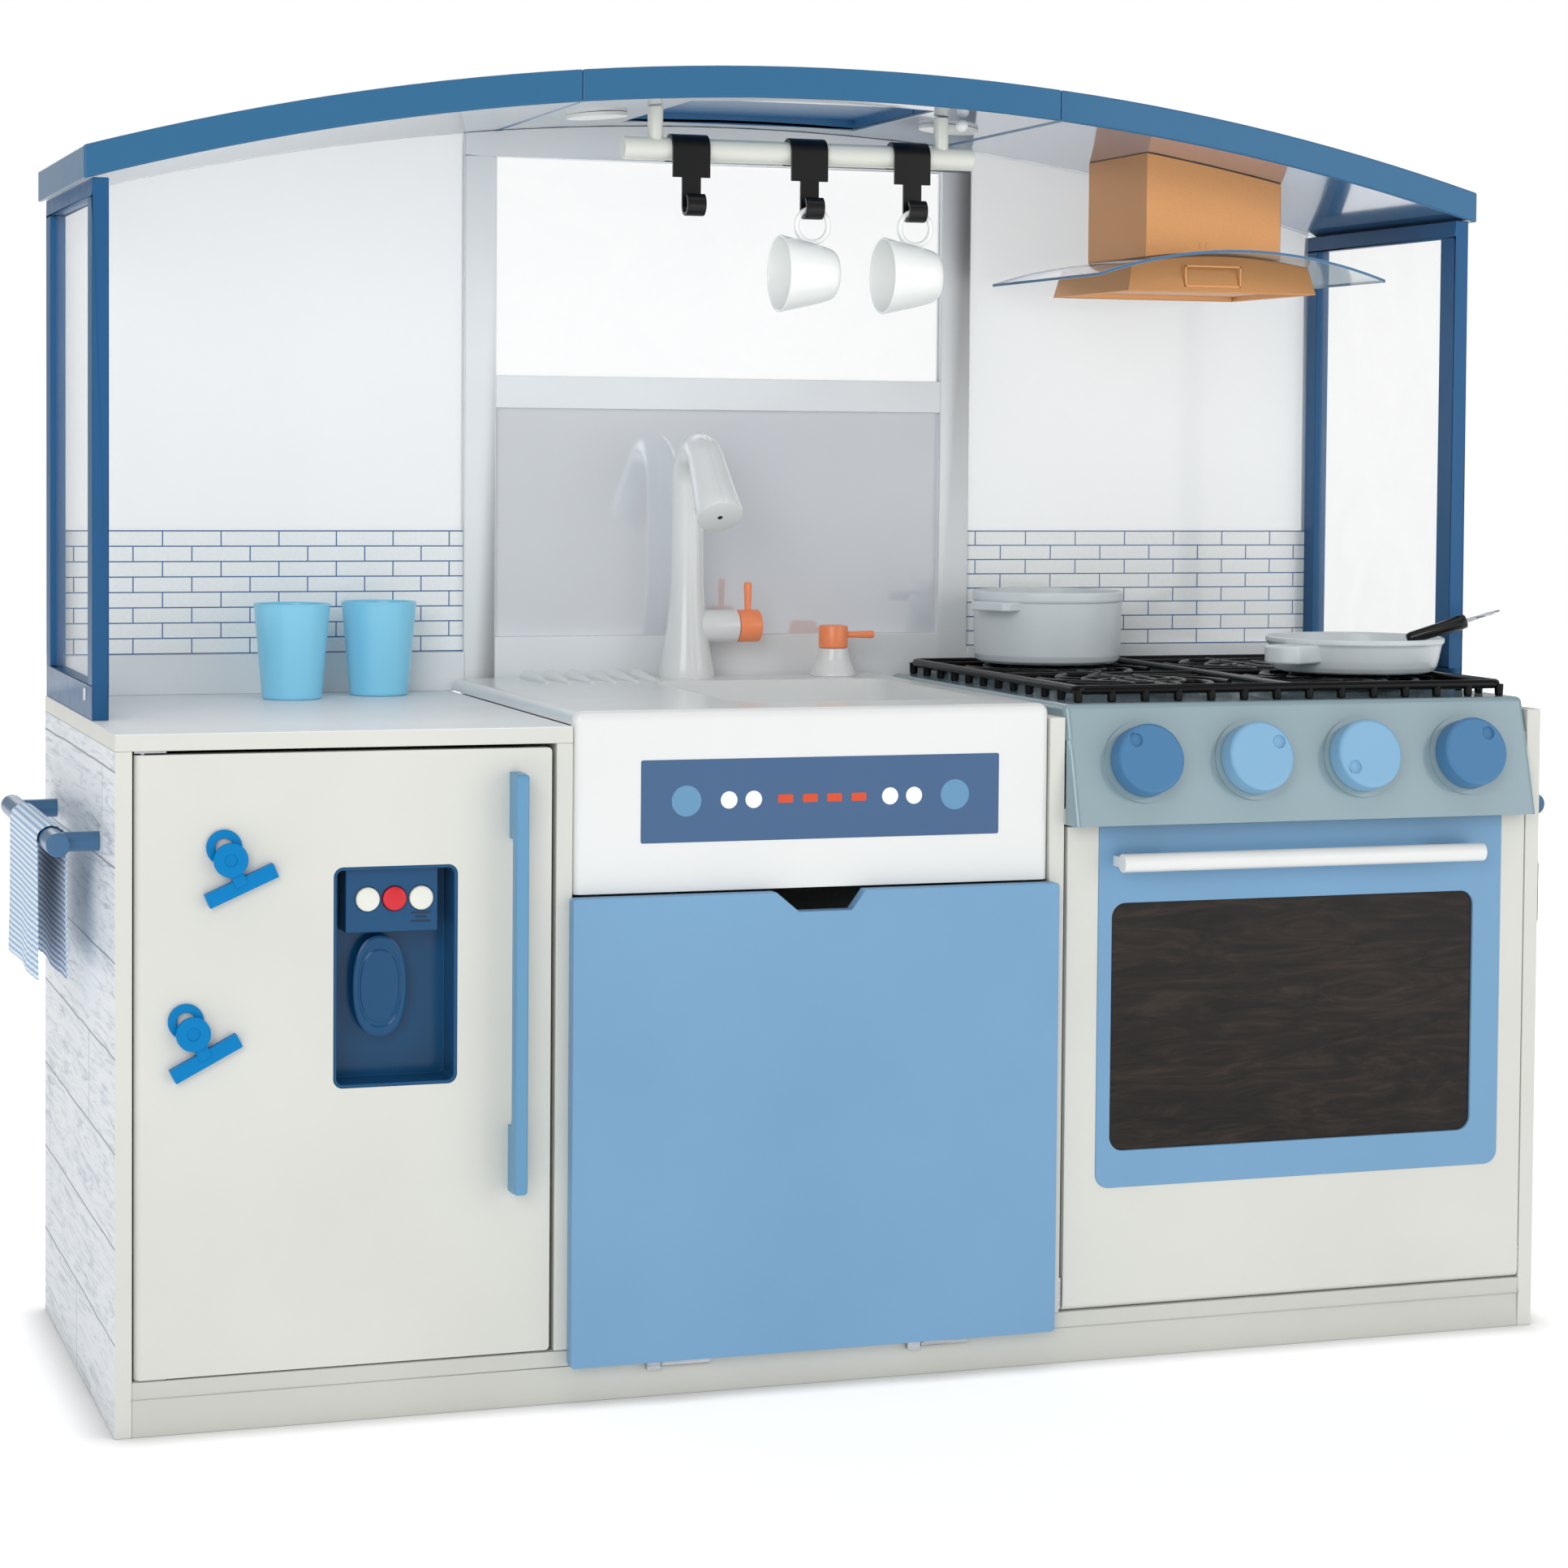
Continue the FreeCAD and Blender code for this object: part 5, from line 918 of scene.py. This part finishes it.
def make_towel():
    """A small striped cloth laid over the left rail and left to settle on it."""
    low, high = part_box("towel")
    bar_radius, gap, thick = 8.5, 0.25, 1.6
    bar_x = (low.x + high.x) / 2
    bar_z = high.z - (bar_radius + gap + thick) * MM
    reach = bar_z - low.z
    radius = 9.9 * MM
    arc = math.pi * radius
    length = 2 * reach + arc
    width = high.y - low.y
    rows, columns = 96, 64
    bm = bmesh.new()
    layer = bm.loops.layers.uv.new("cut")
    grid = []
    for i in range(rows + 1):
        run = length * i / rows
        line = []
        for j in range(columns + 1):
            y = low.y + width * j / columns
            if run < reach:
                point = Vector((bar_x - radius, y, bar_z - (reach - run)))
            elif run < reach + arc:
                angle = (run - reach) / radius
                point = Vector((bar_x - radius * math.cos(angle), y, bar_z + radius * math.sin(angle)))
            else:
                point = Vector((bar_x + radius, y, bar_z - (run - reach - arc)))
            # the hang starts with soft folds that the fall deepens
            drop = max(0.0, (bar_z - point.z) / reach)
            phase = 0.6 if run > length / 2 else 2.0
            point.x += 2.4 * MM * drop * math.sin(3.1 * math.pi * j / columns + phase)
            line.append(bm.verts.new(point))
        grid.append(line)
    for i in range(rows):
        for j in range(columns):
            corners = ((i, j), (i, j + 1), (i + 1, j + 1), (i + 1, j))
            face = bm.faces.new([grid[r][c] for r, c in corners])
            for loop, (r, c) in zip(face.loops, corners):
                loop[layer].uv = (width * c / columns, length * r / rows)
    mesh = to_mesh(bm, "towel_sheet", 60)
    cloth = bpy.data.objects.new("towel_sheet", mesh)
    scene.collection.objects.link(cloth)
    mesh.materials.append(SLOT_LOOKS["towel_cloth"])
    mesh.materials.append(towel_back)
    settle(cloth, bar_z)
    body = cloth.modifiers.new("cloth_body", "SOLIDIFY")
    body.thickness = 0.9 * MM
    body.offset = 0
    body.material_offset = 1
    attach(cloth, "carcass")
    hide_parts("towel")


def settle(cloth, bar_z):
    """Let the towel fall into place over the bar, which collides with it."""
    last_step = 30
    rail = frame["nodes"]["side_rails"]
    catcher = bpy.data.objects.new("towel_catcher", rail.data.copy())
    scene.collection.objects.link(catcher)
    catcher.modifiers.new("stop", "COLLISION")
    catcher.collision.thickness_outer = 0.8 * MM
    catcher.collision.cloth_friction = 60
    top = cloth.vertex_groups.new(name="held")
    top.add([v.index for v in cloth.data.vertices if v.co.z > bar_z + 7 * MM], 1.0, "REPLACE")
    sim = cloth.modifiers.new("hang", "CLOTH")
    sim.settings.quality = 8
    sim.settings.mass = 0.25
    sim.settings.tension_stiffness = 40
    sim.settings.compression_stiffness = 40
    sim.settings.bending_stiffness = 0.15
    sim.settings.vertex_group_mass = "held"
    sim.collision_settings.distance_min = 0.8 * MM
    sim.point_cache.frame_start, sim.point_cache.frame_end = 1, last_step
    for step in range(1, last_step + 1):
        scene.frame_set(step)
    bpy.context.view_layer.update()
    still = bpy.data.meshes.new_from_object(cloth.evaluated_get(bpy.context.evaluated_depsgraph_get()))
    cloth.modifiers.clear()
    cloth.data = still
    bpy.data.objects.remove(catcher)
    scene.frame_set(1)


# ---------------------------------------------------------------- stage, light and camera

def make_stage():
    """White paper with a painted glow that grows brighter away from the object and a painted contact shadow
    that darkens it only close under the object, an even sky, and four soft lamps.
    """
    mesh = bpy.data.meshes.new("floor")
    bm = bmesh.new()
    bmesh.ops.create_grid(bm, x_segments=1, y_segments=1, size=9.0)
    bm.to_mesh(mesh)
    bm.free()
    floor = bpy.data.objects.new("floor", mesh)
    scene.collection.objects.link(floor)
    shade = Shade("floor_paper")
    shade.link(shade.ramp(shade.noise(3.0, 2.0), [(0.3, (0.60, 0.60, 0.60, 1)), (0.7, (0.62, 0.62, 0.62, 1))]),
               "Base Color")
    shade.set(Roughness=0.8, Specular_IOR_Level=0.1, Emission_Color=(1, 1, 1, 1))
    # painted glow: the paper's emission rises from 0.58 to 1.0 with distance from the middle
    away = shade.nodes.new("ShaderNodeVectorMath")
    away.operation = "LENGTH"
    shade.links.new(shade.where, away.inputs[0])
    painted_glow = shade.nodes.new("ShaderNodeMapRange")
    for socket, number in (("From Min", 0.9), ("From Max", 2.8), ("To Min", 0.58), ("To Max", 1.0)):
        painted_glow.inputs[socket].default_value = number
    shade.links.new(away.outputs["Value"], painted_glow.inputs["Value"])
    # painted contact shadow: ambient occlusion dims the glow close under the object
    nearby = shade.nodes.new("ShaderNodeAmbientOcclusion")
    nearby.inputs["Distance"].default_value = 0.03
    nearby.samples = 8
    painted_contact_shade = shade.math("POWER", nearby.outputs["AO"], 1.6)
    shade.link(shade.math("MULTIPLY", painted_glow.outputs["Result"], painted_contact_shade), "Emission Strength")
    mesh.materials.append(shade.material)

    world = bpy.data.worlds.new("studio")
    world.use_nodes = True
    tree = world.node_tree
    sky = tree.nodes["Background"]
    seen = tree.nodes.new("ShaderNodeLightPath")
    level = tree.nodes.new("ShaderNodeMapRange")
    level.inputs["To Min"].default_value = 0.45
    level.inputs["To Max"].default_value = 1.0
    tree.links.new(seen.outputs["Is Camera Ray"], level.inputs["Value"])
    tree.links.new(level.outputs["Result"], sky.inputs["Strength"])
    sky.inputs["Color"].default_value = (1, 1, 1, 1)
    scene.world = world
    scene.view_settings.view_transform = "Standard"

    def lamp(name, where, target, size, power):
        light = bpy.data.lights.new(name, "AREA")
        light.size = size
        light.energy = power
        thing = bpy.data.objects.new(name, light)
        scene.collection.objects.link(thing)
        thing.location = where
        thing.rotation_euler = (Vector(target) - Vector(where)).to_track_quat("-Z", "Y").to_euler()

    lamp("key", (-2.0, -3.2, 1.7), (0, 0, 0.55), 1.8, 42)
    lamp("fill", (2.6, -3.0, 1.3), (0, 0, 0.55), 2.2, 23)
    lamp("top", (0.2, -0.8, 3.2), (0, 0, 0.5), 2.4, 14)
    lamp("back", (0.3, 2.4, 1.9), (0, 0, 0.6), 2.2, 30)


def make_camera():
    """A long lens from the front left, a little above the worktop, looking slightly down."""
    eye = at(-895.0, -2427.9, 686.8)
    yaw, pitch, roll = (math.radians(v) for v in (18.71, 2.32, 0.47))
    ahead = Vector((math.sin(yaw) * math.cos(pitch), math.cos(yaw) * math.cos(pitch), -math.sin(pitch)))
    level = Vector((math.cos(yaw), -math.sin(yaw), 0))
    above = level.cross(ahead)
    right = math.cos(roll) * level + math.sin(roll) * above
    up = -math.sin(roll) * level + math.cos(roll) * above
    data = bpy.data.cameras.new("camera")
    data.sensor_width = 36.0
    data.lens = 81.08
    data.shift_y = -0.1228
    data.clip_start, data.clip_end = 0.1, 50.0
    camera = bpy.data.objects.new("camera", data)
    scene.collection.objects.link(camera)
    axes = Matrix((right, up, -ahead)).transposed()
    camera.matrix_world = Matrix.Translation(eye) @ axes.to_4x4()
    scene.camera = camera


make_boards()
make_screw_caps()
make_dispenser()
make_sink()
make_faucet()
make_tap()
make_grate()
make_roof_fittings()
make_hood()
make_mugs()
make_cups()
make_pot()
make_pan()
make_turner()
make_towel()
make_stage()
make_camera()

bpy.context.view_layer.update()
